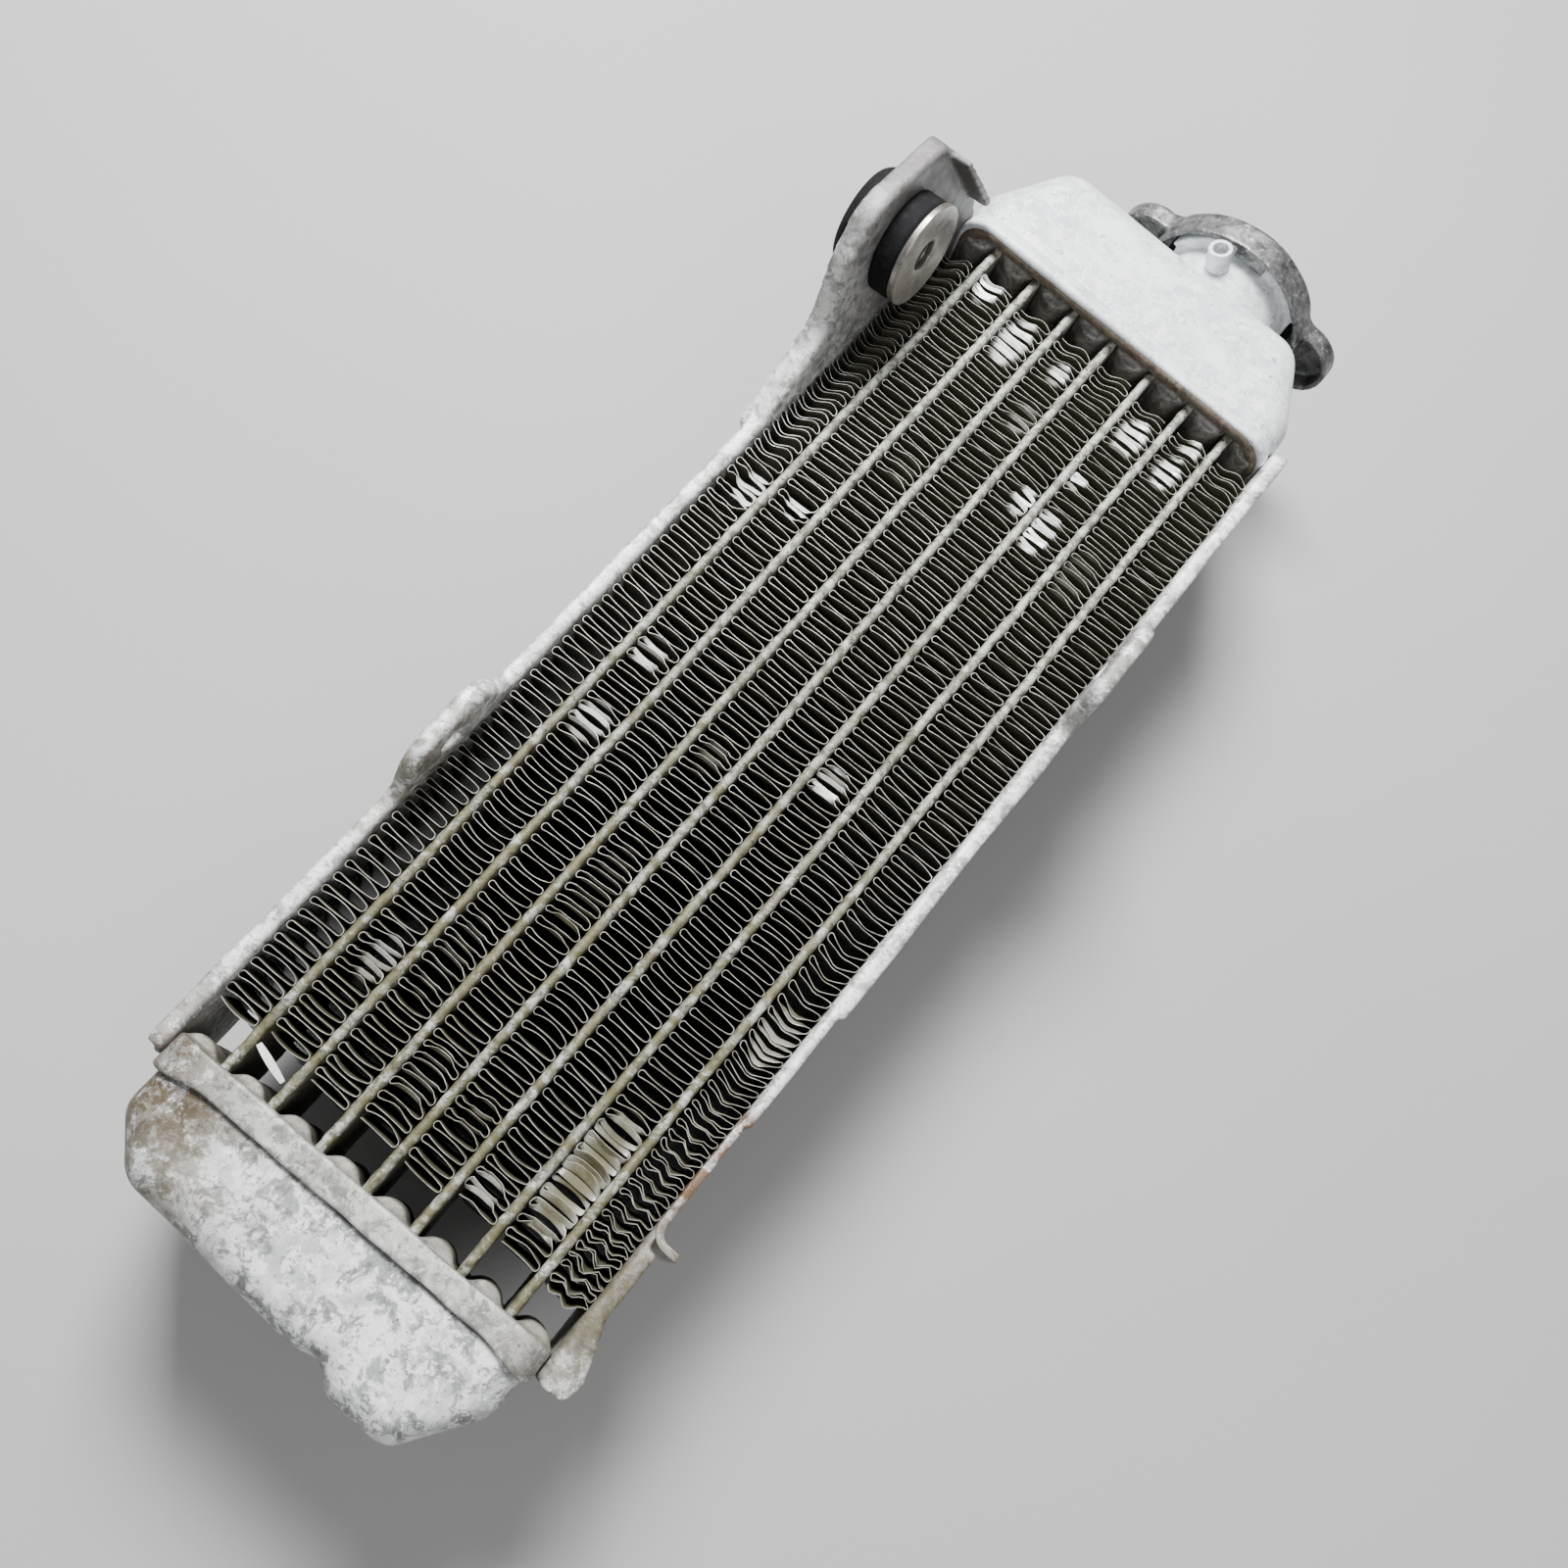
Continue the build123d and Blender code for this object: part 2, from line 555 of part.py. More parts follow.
def cap_bell():
    """Cup inside the spring, riveted under the cover."""
    top = CAP_INSIDE_Y - SMALL_GAP
    bell = disc(BELL_FLANGE_RADIUS, top - BELL_WALL, top)
    bell += ring(BELL_RADIUS, BELL_RADIUS - BELL_WALL, BELL_END_Y, top - BELL_WALL / 2)
    bell -= Cylinder(RIVET_RADIUS, 1000)
    return turned_to_y(bell, NECK_X)


def cap_gasket():
    """Rubber ring between the cover and the mouth of the neck."""
    start = NECK_TOP_Y + SMALL_GAP
    end = CAP_INSIDE_Y - SMALL_GAP
    return turned_to_y(ring(GASKET_RADIUS, BELL_FLANGE_RADIUS + 0.2, start, end), NECK_X)


def valve_plate():
    """Plate of the pressure valve, pressed down by the spring."""
    start = SEAT_Y + SMALL_GAP + SEAL_THICKNESS
    plate = ring(VALVE_RADIUS, VACUUM_HOLE_RADIUS, start, start + VALVE_SHEET)
    return turned_to_y(plate, NECK_X)


def valve_seal():
    """Rubber ring that closes on the seat in the neck."""
    start = SEAT_Y + SMALL_GAP
    return turned_to_y(ring(VALVE_RADIUS, VACUUM_RADIUS + 1, start, start + SEAL_THICKNESS), NECK_X)


def coil_spring(radius, wire_radius, turns, bottom, top):
    """Coil of round wire about +Z that just clears the faces below and above it."""
    room = wire_radius + 0.05
    height = top - bottom - 2 * room
    path = Helix(pitch=height / turns, height=height, radius=radius)
    section = Plane(path @ 0, z_dir=path % 0) * Circle(wire_radius)
    return Pos(0, 0, bottom + room) * sweep(section, path=path, is_frenet=True)


def pressure_spring():
    """Coil spring between the bell and the valve plate."""
    bottom = SEAT_Y + SMALL_GAP + SEAL_THICKNESS + VALVE_SHEET
    top = CAP_INSIDE_Y - SMALL_GAP - BELL_WALL
    coil = coil_spring(SPRING_RADIUS, SPRING_WIRE_RADIUS, SPRING_TURNS, bottom, top)
    return turned_to_y(coil, NECK_X)


def vacuum_spring():
    """Light coil that holds the vacuum valve up against the valve plate."""
    bottom = SEAT_Y + SMALL_GAP + SEAL_THICKNESS + VALVE_SHEET
    top = SEAT_Y + SEAL_THICKNESS + VACUUM_STEM_LENGTH - VACUUM_HEAD
    coil = coil_spring(VACUUM_SPRING_RADIUS, VACUUM_SPRING_WIRE_RADIUS, VACUUM_SPRING_TURNS, bottom, top)
    return turned_to_y(coil, NECK_X)


def vacuum_valve():
    """Small disc under the valve plate with a stem up through it."""
    top = SEAT_Y + SEAL_THICKNESS
    valve = disc(VACUUM_RADIUS, top - 1.0, top)
    valve += disc(VACUUM_STEM_RADIUS, top - 0.5, top + VACUUM_STEM_LENGTH)
    valve += disc(VACUUM_HEAD_RADIUS, top + VACUUM_STEM_LENGTH - VACUUM_HEAD, top + VACUUM_STEM_LENGTH)
    return turned_to_y(valve, NECK_X)


# ---------------------------------------------------------------- assembly

def all_nodes():
    """Every separate piece by name, in the drawing position."""
    nodes = {}
    for index in range(TUBE_COUNT):
        nodes[f"tube_{index + 1}"] = flat_tube(index)
    for index in range(FIN_COUNT):
        nodes[f"fin_{index + 1}"] = fin_strip(index)
    makers = (bottom_header, top_header, bottom_tank, top_tank, filler_neck, overflow_nipple,
              left_side_plate, right_side_plate, lower_right_bracket,
              mount_grommet, mount_collar, mount_washer,
              cap_cover, cap_rivet, cap_bell, cap_gasket,
              valve_plate, valve_seal, pressure_spring, vacuum_valve, vacuum_spring)
    for maker in makers:
        nodes[maker.__name__] = maker()
    back = -CORE_DEPTH - TANK_OVERHANG
    nodes["inlet_nipple"] = hose_nipple(-HOSE_OFFSET_X, INLET_Y, back - TANK_WALL)
    nodes["outlet_nipple"] = hose_nipple(HOSE_OFFSET_X, OUTLET_Y, back)
    return nodes


def rest_shift(nodes):
    """Move that puts the origin at the middle of the bottom of the whole radiator."""
    boxes = [shape.bounding_box() for shape in nodes.values()]
    left = min(box.min.X for box in boxes)
    right = max(box.max.X for box in boxes)
    near = min(box.min.Y for box in boxes)
    far = max(box.max.Y for box in boxes)
    bottom = min(box.min.Z for box in boxes)
    return Pos(-(left + right) / 2, -(near + far) / 2, -bottom)


def main():
    """Write one file for each piece."""
    os.makedirs("parts", exist_ok=True)
    nodes = all_nodes()
    move = rest_shift(nodes)
    for name, shape in nodes.items():
        export_step(move * shape, f"parts/{name}.step")
    print("origin moved by", move.position)


main()
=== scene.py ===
import json
import math

import bpy
import numpy as np
from mathutils import Matrix, Vector, noise


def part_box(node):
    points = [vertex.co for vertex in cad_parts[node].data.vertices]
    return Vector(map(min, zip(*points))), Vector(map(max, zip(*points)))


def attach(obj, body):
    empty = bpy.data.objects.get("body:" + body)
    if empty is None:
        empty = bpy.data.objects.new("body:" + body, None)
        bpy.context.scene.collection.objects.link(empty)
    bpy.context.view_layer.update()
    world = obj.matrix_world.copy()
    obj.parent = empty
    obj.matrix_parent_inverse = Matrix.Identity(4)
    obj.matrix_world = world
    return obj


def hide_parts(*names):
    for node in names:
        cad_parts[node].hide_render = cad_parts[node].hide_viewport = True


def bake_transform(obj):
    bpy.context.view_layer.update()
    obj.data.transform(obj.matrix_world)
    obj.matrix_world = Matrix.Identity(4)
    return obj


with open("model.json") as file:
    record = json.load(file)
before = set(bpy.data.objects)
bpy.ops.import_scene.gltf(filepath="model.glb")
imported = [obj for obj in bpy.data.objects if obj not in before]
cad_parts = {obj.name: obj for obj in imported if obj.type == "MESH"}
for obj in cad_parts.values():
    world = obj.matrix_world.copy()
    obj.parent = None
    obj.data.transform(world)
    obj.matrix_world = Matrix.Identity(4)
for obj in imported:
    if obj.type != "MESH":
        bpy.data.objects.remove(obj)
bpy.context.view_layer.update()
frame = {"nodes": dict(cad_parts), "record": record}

MM = 0.001

# ---------------------------------------------------------------- places taken from the frame

TUBE_NODES = [f"tube_{number}" for number in range(1, 8)]
FIN_NODES = [f"fin_{number}" for number in range(1, 9)]


def node_box(node):
    """Lowest and highest corner of a CAD node as arrays, in metres."""
    low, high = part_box(node)
    return np.array(low), np.array(high)


def middle_of(node):
    """Centre of a CAD node's box."""
    low, high = node_box(node)
    return (low + high) / 2


# The damage, dirt and painted shade are placed from the middle of the front face of the core, in
# millimetres.
CORE = middle_of("tube_4")
CORE[2] = node_box("tube_4")[1][2]


# ---------------------------------------------------------------- materials

X_AXIS, Y_AXIS, Z_AXIS = 0, 1, 2
SEAM_LINE_AND_SHADE = (0.03, 0.028, 0.022)
BROWN = (0.065, 0.042, 0.016)
DULL_GREY = (0.15, 0.145, 0.13)
EAR_DARK_GREY = (0.12, 0.112, 0.108)
GRIME = (0.12, 0.10, 0.045)
PALE_RUST = (0.11, 0.060, 0.016)
PIT_BLACK = (0.05, 0.045, 0.04)
TANK_WALL_SHADE = (0.15, 0.15, 0.15)
RUST = (0.10, 0.040, 0.002)
HEADER_BUMP_SHADE = (0.14, 0.13, 0.10)
TAN = (0.085, 0.071, 0.030)
TANK_GRIME = (0.12, 0.10, 0.050)
UMBER = (0.10, 0.09, 0.07)
HEADER_DEPTH_SHADE = (0.12, 0.11, 0.09)

# Stretches along an axis as (axis, nothing here, full here), from the middle of the front of the core in
# millimetres.
RIGHT_PLATE = (X_AXIS, 30, 35)
LEFT_PLATE = (X_AXIS, -30, -35)
FRONT_LIP = (Z_AXIS, -26, -3)
# For each material: the stretches whose overlap is stained or darkened with painted shade (marked below),
# colour, share and blot size (None for an even layer).
STAINS_AND_SHADE = {
    "side_plate_metal": [
        ((RIGHT_PLATE, (Y_AXIS, -82, -100), (Y_AXIS, -124, -110), (Z_AXIS, -34, -4)), TAN, 0.85, None),
        ((RIGHT_PLATE, (Y_AXIS, -80, -104), (Z_AXIS, -44, -10)), TAN, 0.6, 6.0),
        ((RIGHT_PLATE, (Y_AXIS, -62, -66), (Y_AXIS, -92, -86), (Z_AXIS, -8, -2)), RUST, 0.9, 4.0),
        ((RIGHT_PLATE, (Y_AXIS, -55, -80), (Y_AXIS, -110, -85), (Z_AXIS, -34, -6)), RUST, 0.3, 7.0),
        ((LEFT_PLATE, (Y_AXIS, -106, -124), FRONT_LIP), PALE_RUST, 0.85, 4.0),
        ((LEFT_PLATE, (Y_AXIS, -40, -58), (Y_AXIS, -78, -60), FRONT_LIP), GRIME, 0.7, 5.0),
        ((RIGHT_PLATE, (Y_AXIS, 76, 56), (Y_AXIS, 0, 40), FRONT_LIP), DULL_GREY, 0.7, 6.0),
        # The left plate is made evenly darker from 60 mm up, fully from 88 mm, over the ear.
        ((LEFT_PLATE, (Y_AXIS, 60, 88)), EAR_DARK_GREY, 0.88, None),
    ],
    "header_metal": [
        (((X_AXIS, -22, -38),), BROWN, 0.8, 5.0),
        (((X_AXIS, 28, 42),), BROWN, 0.5, 5.0),
        # Painted shade: the header darkens behind its front face.
        (((Z_AXIS, -1.0, -5.0),), HEADER_DEPTH_SHADE, 0.8, None),
        # Painted shade on the bumps between the tubes.
        (((Y_AXIS, -118.6, -117.2),), HEADER_BUMP_SHADE, 0.75, None),
    ],
    "bottom_tank_metal": [
        (((X_AXIS, -8, -30),), TANK_GRIME, 0.75, 5.0),
        (((X_AXIS, -18, -32), (Y_AXIS, -146, -128)), BROWN, 0.9, 3.5),
        # Dark line along the seam with the header: partly the joint itself, partly painted shade in the gap.
        (((Y_AXIS, -124.4, -123.4),), SEAM_LINE_AND_SHADE, 1.0, None),
        # Painted shade: the tank is evenly darker behind the front face of the core, with brown blots over
        # it.
        (((Z_AXIS, 1.5, -6.0),), TANK_WALL_SHADE, 0.6, None),
        (((Z_AXIS, 1.5, -6.0),), UMBER, 0.6, 4.0),
    ],
}


class Paint:
    """A Principled material and short calls that add nodes to it."""

    def __init__(self, name):
        self.material = bpy.data.materials.new(name)
        self.material.use_nodes = True
        self.nodes = self.material.node_tree.nodes
        self.links = self.material.node_tree.links
        self.shader = self.nodes["Principled BSDF"]
        self.place = self.nodes.new("ShaderNodeTexCoord").outputs["Object"]

    def link(self, output, socket):
        self.links.new(output, socket)

    def feed(self, socket, value):
        """Gives a socket an output, a number or a colour."""
        if isinstance(value, tuple):
            socket.default_value = (*value, 1)
        elif isinstance(value, (int, float)):
            socket.default_value = value
        else:
            self.link(value, socket)

    def noise(self, size_mm, detail=6.0, roughness=0.6, distortion=0.0):
        """Cloudy noise between 0 and 1, mostly near 0.5."""
        node = self.nodes.new("ShaderNodeTexNoise")
        node.inputs["Scale"].default_value = 1.0 / (size_mm * MM)
        node.inputs["Detail"].default_value = detail
        node.inputs["Roughness"].default_value = roughness
        node.inputs["Distortion"].default_value = distortion
        self.link(self.place, node.inputs["Vector"])
        return node.outputs["Fac"]

    def cells(self, size_mm):
        """Distance from the nearest of many scattered points."""
        node = self.nodes.new("ShaderNodeTexVoronoi")
        node.inputs["Scale"].default_value = 1.0 / (size_mm * MM)
        self.link(self.place, node.inputs["Vector"])
        return node.outputs["Distance"]

    def attribute(self, name):
        """A number stored on the points of the mesh."""
        node = self.nodes.new("ShaderNodeAttribute")
        node.attribute_name = name
        return node.outputs["Fac"]

    def ramp(self, value, stops):
        """Colour ramp; stops are (position, grey or colour)."""
        node = self.nodes.new("ShaderNodeValToRGB")
        ramp = node.color_ramp
        while len(ramp.elements) < len(stops):
            ramp.elements.new(0.5)
        for element, (position, colour) in zip(ramp.elements, stops):
            element.position = position
            grey = isinstance(colour, (int, float))
            element.color = (colour, colour, colour, 1) if grey else (*colour, 1)
        self.link(value, node.inputs["Fac"])
        return node.outputs["Color"]

    def patches(self, value, none_at, full_at):
        """0 to 1 as the value goes from none_at to full_at, which may be the lower of the two."""
        return self.ramp(value, sorted([(none_at, 0.0), (full_at, 1.0)]))

    def mix(self, share, first, second):
        """Mix of two colours; share and colours are outputs or plain values."""
        node = self.nodes.new("ShaderNodeMix")
        node.data_type = "RGBA"
        self.feed(node.inputs[0], share)
        self.feed(node.inputs[6], first)
        self.feed(node.inputs[7], second)
        return node.outputs[2]

    def multiply(self, first, second):
        """Product of two outputs or numbers."""
        node = self.nodes.new("ShaderNodeMath")
        node.operation = "MULTIPLY"
        self.feed(node.inputs[0], first)
        self.feed(node.inputs[1], second)
        return node.outputs[0]

    def cover(self, colour, mask, share, stain):
        """The colour with a share of a second colour over it where the mask is 1; used for stains, dirt,
        wear and painted shade.
        """
        return self.mix(self.multiply(mask, share), colour, stain)

    def place_along(self, axis):
        """The place along one axis, in metres."""
        split = self.nodes.new("ShaderNodeSeparateXYZ")
        self.link(self.place, split.inputs[0])
        return split.outputs[axis]

    def height_along(self, axis, start_mm, end_mm):
        """0 to 1 as the place goes from start to end along an axis, from the middle of the core."""
        node = self.nodes.new("ShaderNodeMapRange")
        node.inputs["From Min"].default_value = CORE[axis] + start_mm * MM
        node.inputs["From Max"].default_value = CORE[axis] + end_mm * MM
        self.link(self.place_along(axis), node.inputs["Value"])
        return node.outputs["Result"]

    def stripes(self, axis, pitch_mm):
        """Narrow bands at a regular distance along an axis."""
        turns = self.multiply(self.place_along(axis), 2 * math.pi / (pitch_mm * MM))
        node = self.nodes.new("ShaderNodeMath")
        node.operation = "SINE"
        self.link(turns, node.inputs[0])
        return self.patches(node.outputs[0], 0.62, 0.90)

    def extra(self, colour):
        """Local stains and painted shade that belong to one material only."""
        for region, stain, share, size in STAINS_AND_SHADE.get(self.material.name, ()):
            mask = None
            for axis, start, end in region:
                edge = self.height_along(axis, start, end)
                mask = edge if mask is None else self.multiply(mask, edge)
            if size:
                blots = self.patches(self.noise(size, 8, 0.75, 0.5), 0.44, 0.51)
                mask = self.multiply(mask, blots)
            colour = self.cover(colour, mask, share, stain)
        return colour

    def bump(self, value, depth_mm, strength):
        """Adds fine relief to whatever relief is there already."""
        node = self.nodes.new("ShaderNodeBump")
        node.inputs["Strength"].default_value = strength
        node.inputs["Distance"].default_value = depth_mm * MM
        self.link(value, node.inputs["Height"])
        before = self.shader.inputs["Normal"]
        if before.is_linked:
            self.link(before.links[0].from_socket, node.inputs["Normal"])
        self.link(node.outputs["Normal"], before)

    def finish(self, colour, roughness, metallic):
        """Gives the shader its colour, roughness and metallic share, and returns the material."""
        self.link(colour, self.shader.inputs["Base Color"])
        self.feed(self.shader.inputs["Roughness"], roughness)
        self.shader.inputs["Metallic"].default_value = metallic
        return self.material


def oxidised(name, light, dark, stain, stain_share, metallic, blotch_mm=4.5, softness=0.045,
             rough=(0.40, 0.66)):
    """Weathered aluminium: sharp-edged cloudy patches, salt speckle, dark pits and a brown stain."""
    paint = Paint(name)
    middle = tuple(0.5 * a + 0.5 * b for a, b in zip(light, dark))
    bright = tuple(min(0.94, 1.2 * value) for value in light)
    deep = tuple(0.45 * value for value in dark)
    colour = paint.mix(paint.patches(paint.noise(20, 8, 0.75, 0.6), 0.44, 0.53), middle, light)
    blotch = paint.patches(paint.noise(blotch_mm, 8, 0.72, 0.6), 0.48 + softness, 0.48 - softness)
    colour = paint.cover(colour, blotch, 0.72, dark)
    flecks = paint.patches(paint.noise(0.5 * blotch_mm, 6, 0.75, 0.5), 0.45, 0.42)
    colour = paint.cover(colour, flecks, 0.7, dark)
    speckle = paint.patches(paint.noise(2.6, 5, 0.75, 0.4), 0.53, 0.57)
    colour = paint.cover(colour, speckle, 0.8, bright)
    grain = paint.patches(paint.noise(1.9, 4, 0.7), 0.38, 0.34)
    colour = paint.cover(colour, grain, 0.7, deep)
    pits = paint.patches(paint.cells(2.6), 0.13, 0.06)
    pitted = paint.patches(paint.noise(11, 3, 0.6), 0.56, 0.64)
    colour = paint.cover(colour, paint.multiply(pits, pitted), 0.85, PIT_BLACK)
    stained = paint.patches(paint.noise(15, 8, 0.75, 0.8), 0.56, 0.70)
    colour = paint.cover(colour, stained, stain_share, stain)
    colour = paint.extra(colour)
    roughness = paint.ramp(paint.noise(4, 5, 0.6), [(0.3, rough[0]), (0.7, rough[1])])
    paint.bump(paint.noise(1.0, 6, 0.75), 0.16, 0.5)
    paint.bump(paint.noise(5, 5, 0.65), 0.40, 0.45)
    return paint.finish(colour, roughness, metallic)


LOUVER_PITCH = 1.7


def fin_sheet():
    """Thin aluminium strip, brightest at its front and darker further in with painted shade."""
    paint = Paint("fin_sheet")
    # Painted shade: the strip's colour darkens with depth into the core.
    depth = paint.height_along(Z_AXIS, -14.0, -0.1)
    depth_shade = paint.ramp(depth, [(0.0, (0.030, 0.029, 0.020)), (0.70, (0.082, 0.079, 0.054)),
                              (0.97, (0.098, 0.094, 0.064)), (1.0, (0.12, 0.117, 0.085))])
    blotch = paint.patches(paint.noise(3.0, 6, 0.7), 0.36, 0.64)
    colour = paint.cover(depth_shade, blotch, 0.35, (0.070, 0.065, 0.038))
    louvers = paint.multiply(paint.stripes(Z_AXIS, LOUVER_PITCH), paint.multiply(depth, depth))
    colour = paint.cover(colour, louvers, 0.7, (0.24, 0.235, 0.18))
    # Folded flaps: a bright colour that is partly wear and partly painted highlight where the flaps face the
    # light.
    worn_and_lit = paint.ramp(paint.noise(0.9, 4, 0.6), [(0.36, (0.66, 0.65, 0.62)), (0.46, (0.94, 0.94, 0.93))])
    colour = paint.mix(paint.attribute("wear_and_highlight"), colour, worn_and_lit)
    clumps = paint.ramp(paint.noise(1.5, 5, 0.7), [(0.32, 0.35), (0.6, 1.0)])
    colour = paint.mix(paint.multiply(paint.attribute("dirt"), clumps), colour, (0.080, 0.070, 0.026))
    paint.bump(paint.noise(0.9, 4, 0.6), 0.05, 0.3)
    return paint.finish(colour, 0.46, 0.30)


def fin_edge():
    """The cut front edge of the strip, rubbed bright."""
    paint = Paint("fin_edge")
    clean = paint.ramp(paint.noise(2.2, 4, 0.6), [(0.36, (0.17, 0.165, 0.135)), (0.68, (0.62, 0.62, 0.57))])
    colour = paint.cover(clean, paint.attribute("dirt"), 0.6, (0.30, 0.265, 0.17))
    return paint.finish(colour, 0.42, 0.15)


def tube_metal():
    """Flat tube edge: pale and rough with flux, with yellow grime towards the bottom tank and painted shade
    on its sides deeper in the core.
    """
    paint = Paint("tube_metal")
    flux = paint.ramp(paint.noise(2.6, 6, 0.75, 0.3),
                      [(0.44, (0.15, 0.147, 0.12)), (0.54, (0.56, 0.56, 0.51))])
    clouds = paint.patches(paint.noise(9, 5, 0.6), 0.40, 0.62)
    colour = paint.cover(flux, clouds, 0.4, (0.24, 0.235, 0.20))
    grime = paint.patches(paint.noise(6.0, 7, 0.75, 0.6), 0.42, 0.52)
    lower = paint.height_along(Y_AXIS, 75.0, -50.0)
    colour = paint.cover(colour, paint.multiply(grime, lower), 0.85, (0.105, 0.096, 0.034))
    specks = paint.patches(paint.noise(1.5, 4, 0.7), 0.40, 0.36)
    colour = paint.cover(colour, specks, 0.75, (0.04, 0.036, 0.026))
    # Painted shade: the tube's sides darken deeper into the core.
    sides = paint.height_along(Z_AXIS, -0.9, -5.0)
    colour = paint.cover(colour, sides, 0.85, (0.09, 0.085, 0.07))
    paint.bump(paint.noise(0.8, 6, 0.75), 0.22, 0.8)
    return paint.finish(colour, 0.55, 0.25)


def rubber():
    """Black rubber with grey dust."""
    paint = Paint("rubber")
    dust = paint.ramp(paint.noise(2.0, 6, 0.7), [(0.5, (0.005, 0.005, 0.006)), (0.8, (0.022, 0.022, 0.022))])
    paint.bump(paint.noise(0.5, 4, 0.6), 0.04, 0.4)
    paint.shader.inputs["Specular IOR Level"].default_value = 0.2
    return paint.finish(dust, 0.8, 0.0)


def plated_steel():
    """Zinc plated steel gone dull, with fine spots."""
    dark = (0.27, 0.25, 0.23)
    paint = Paint("plated_steel")
    clouds = paint.ramp(paint.noise(4, 6, 0.65), [(0.35, dark), (0.65, (0.46, 0.43, 0.40))])
    spots = paint.patches(paint.noise(0.9, 4, 0.7), 0.44, 0.34)
    colour = paint.cover(clouds, spots, 0.5, tuple(0.5 * value for value in dark))
    roughness = paint.ramp(paint.noise(2.5, 4, 0.6), [(0.3, 0.28), (0.7, 0.5)])
    paint.bump(paint.noise(0.6, 4, 0.6), 0.04, 0.3)
    return paint.finish(colour, roughness, 0.85)


def cap_metal():
    """Pressure cap: dark mottled zinc with pale corrosion salt."""
    paint = Paint("cap_metal")
    clouds = paint.ramp(paint.noise(3.2, 8, 0.75, 0.3),
                        [(0.38, (0.07, 0.07, 0.07)), (0.62, (0.25, 0.25, 0.245))])
    salt = paint.patches(paint.noise(1.3, 6, 0.75), 0.56, 0.66)
    colour = paint.cover(clouds, salt, 0.75, (0.58, 0.58, 0.56))
    pits = paint.patches(paint.cells(1.9), 0.16, 0.08)
    colour = paint.cover(colour, pits, 0.6, (0.04, 0.04, 0.04))
    roughness = paint.ramp(paint.noise(2.5, 4, 0.6), [(0.3, 0.34), (0.7, 0.58)])
    paint.bump(paint.noise(0.8, 5, 0.7), 0.10, 0.5)
    return paint.finish(colour, roughness, 0.7)


def plain_brass():
    """Dull brass of the small inner valve."""
    paint = Paint("dull_brass")
    colour = paint.ramp(paint.noise(2.0, 5, 0.6), [(0.3, (0.36, 0.25, 0.10)), (0.7, (0.62, 0.46, 0.20))])
    return paint.finish(colour, 0.38, 0.9)


MATERIALS = {
    "bottom_tank": oxidised("bottom_tank_metal", light=(0.82, 0.83, 0.835), dark=(0.14, 0.145, 0.148),
                            stain=(0.17, 0.145, 0.10), stain_share=0.35, metallic=0.25,
                            blotch_mm=6.0, softness=0.025),
    "top_tank": oxidised("top_tank_metal", light=(0.86, 0.90, 0.92), dark=(0.52, 0.56, 0.585),
                         stain=(0.50, 0.47, 0.42), stain_share=0.15, metallic=0.12,
                         blotch_mm=9.0, softness=0.10, rough=(0.42, 0.58)),
    "header": oxidised("header_metal", light=(0.52, 0.52, 0.50), dark=(0.17, 0.168, 0.155),
                       stain=(0.18, 0.155, 0.09), stain_share=0.55, metallic=0.25, blotch_mm=5.0),
    # Painted shade: the top header gets a darker copy of the header metal.
    "top_header": oxidised("top_header_shaded_metal", light=(0.30, 0.29, 0.275), dark=(0.12, 0.115, 0.105),
                           stain=(0.09, 0.07, 0.05), stain_share=0.5, metallic=0.3, blotch_mm=5.0),
    "side_plate": oxidised("side_plate_metal", light=(0.80, 0.80, 0.795), dark=(0.24, 0.238, 0.23),
                           stain=(0.20, 0.17, 0.11), stain_share=0.4, metallic=0.3,
                           blotch_mm=4.0, softness=0.05),
    "bead": oxidised("bead_metal", light=(0.20, 0.165, 0.13), dark=(0.09, 0.07, 0.055),
                     stain=(0.05, 0.035, 0.025), stain_share=0.6, metallic=0.3, blotch_mm=3.0),
    "tube": tube_metal(),
    "fin": fin_sheet(),
    "fin_edge": fin_edge(),
    "rubber": rubber(),
    "steel": plated_steel(),
    "cap": cap_metal(),
    "brass": plain_brass(),
}


# ---------------------------------------------------------------- mesh helpers

def add_piece(name, points, faces, materials, body, nodes, face_materials=None):
    """New mesh piece that stands for CAD nodes and rides on their body, if one is given."""
    mesh = bpy.data.meshes.new(name)
    mesh.from_pydata([tuple(point) for point in points], [], faces)
    mesh.validate()
    for material in materials:
        mesh.materials.append(MATERIALS[material])
    if face_materials is not None:
        mesh.polygons.foreach_set("material_index", face_materials)
    mesh.polygons.foreach_set("use_smooth", [True] * len(mesh.polygons))
    mesh.update()
    piece = bpy.data.objects.new(name, mesh)
    bpy.context.scene.collection.objects.link(piece)
    if nodes:
        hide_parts(*nodes)
    if body:
        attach(piece, body)
    return piece


def set_numbers(piece, name, values):
    """Stores a number at each point of the mesh, for the material to read."""
    attribute = piece.data.attributes.new(name, "FLOAT", "POINT")
    attribute.data.foreach_set("value", np.asarray(values, np.float32))


def points_and_normals(mesh):
    """The mesh's points and their normals as arrays."""
    points = np.empty(len(mesh.vertices) * 3)
    normals = np.empty(len(mesh.vertices) * 3)
    mesh.vertices.foreach_get("co", points)
    mesh.vertices.foreach_get("normal", normals)
    return points.reshape(-1, 3), normals.reshape(-1, 3)


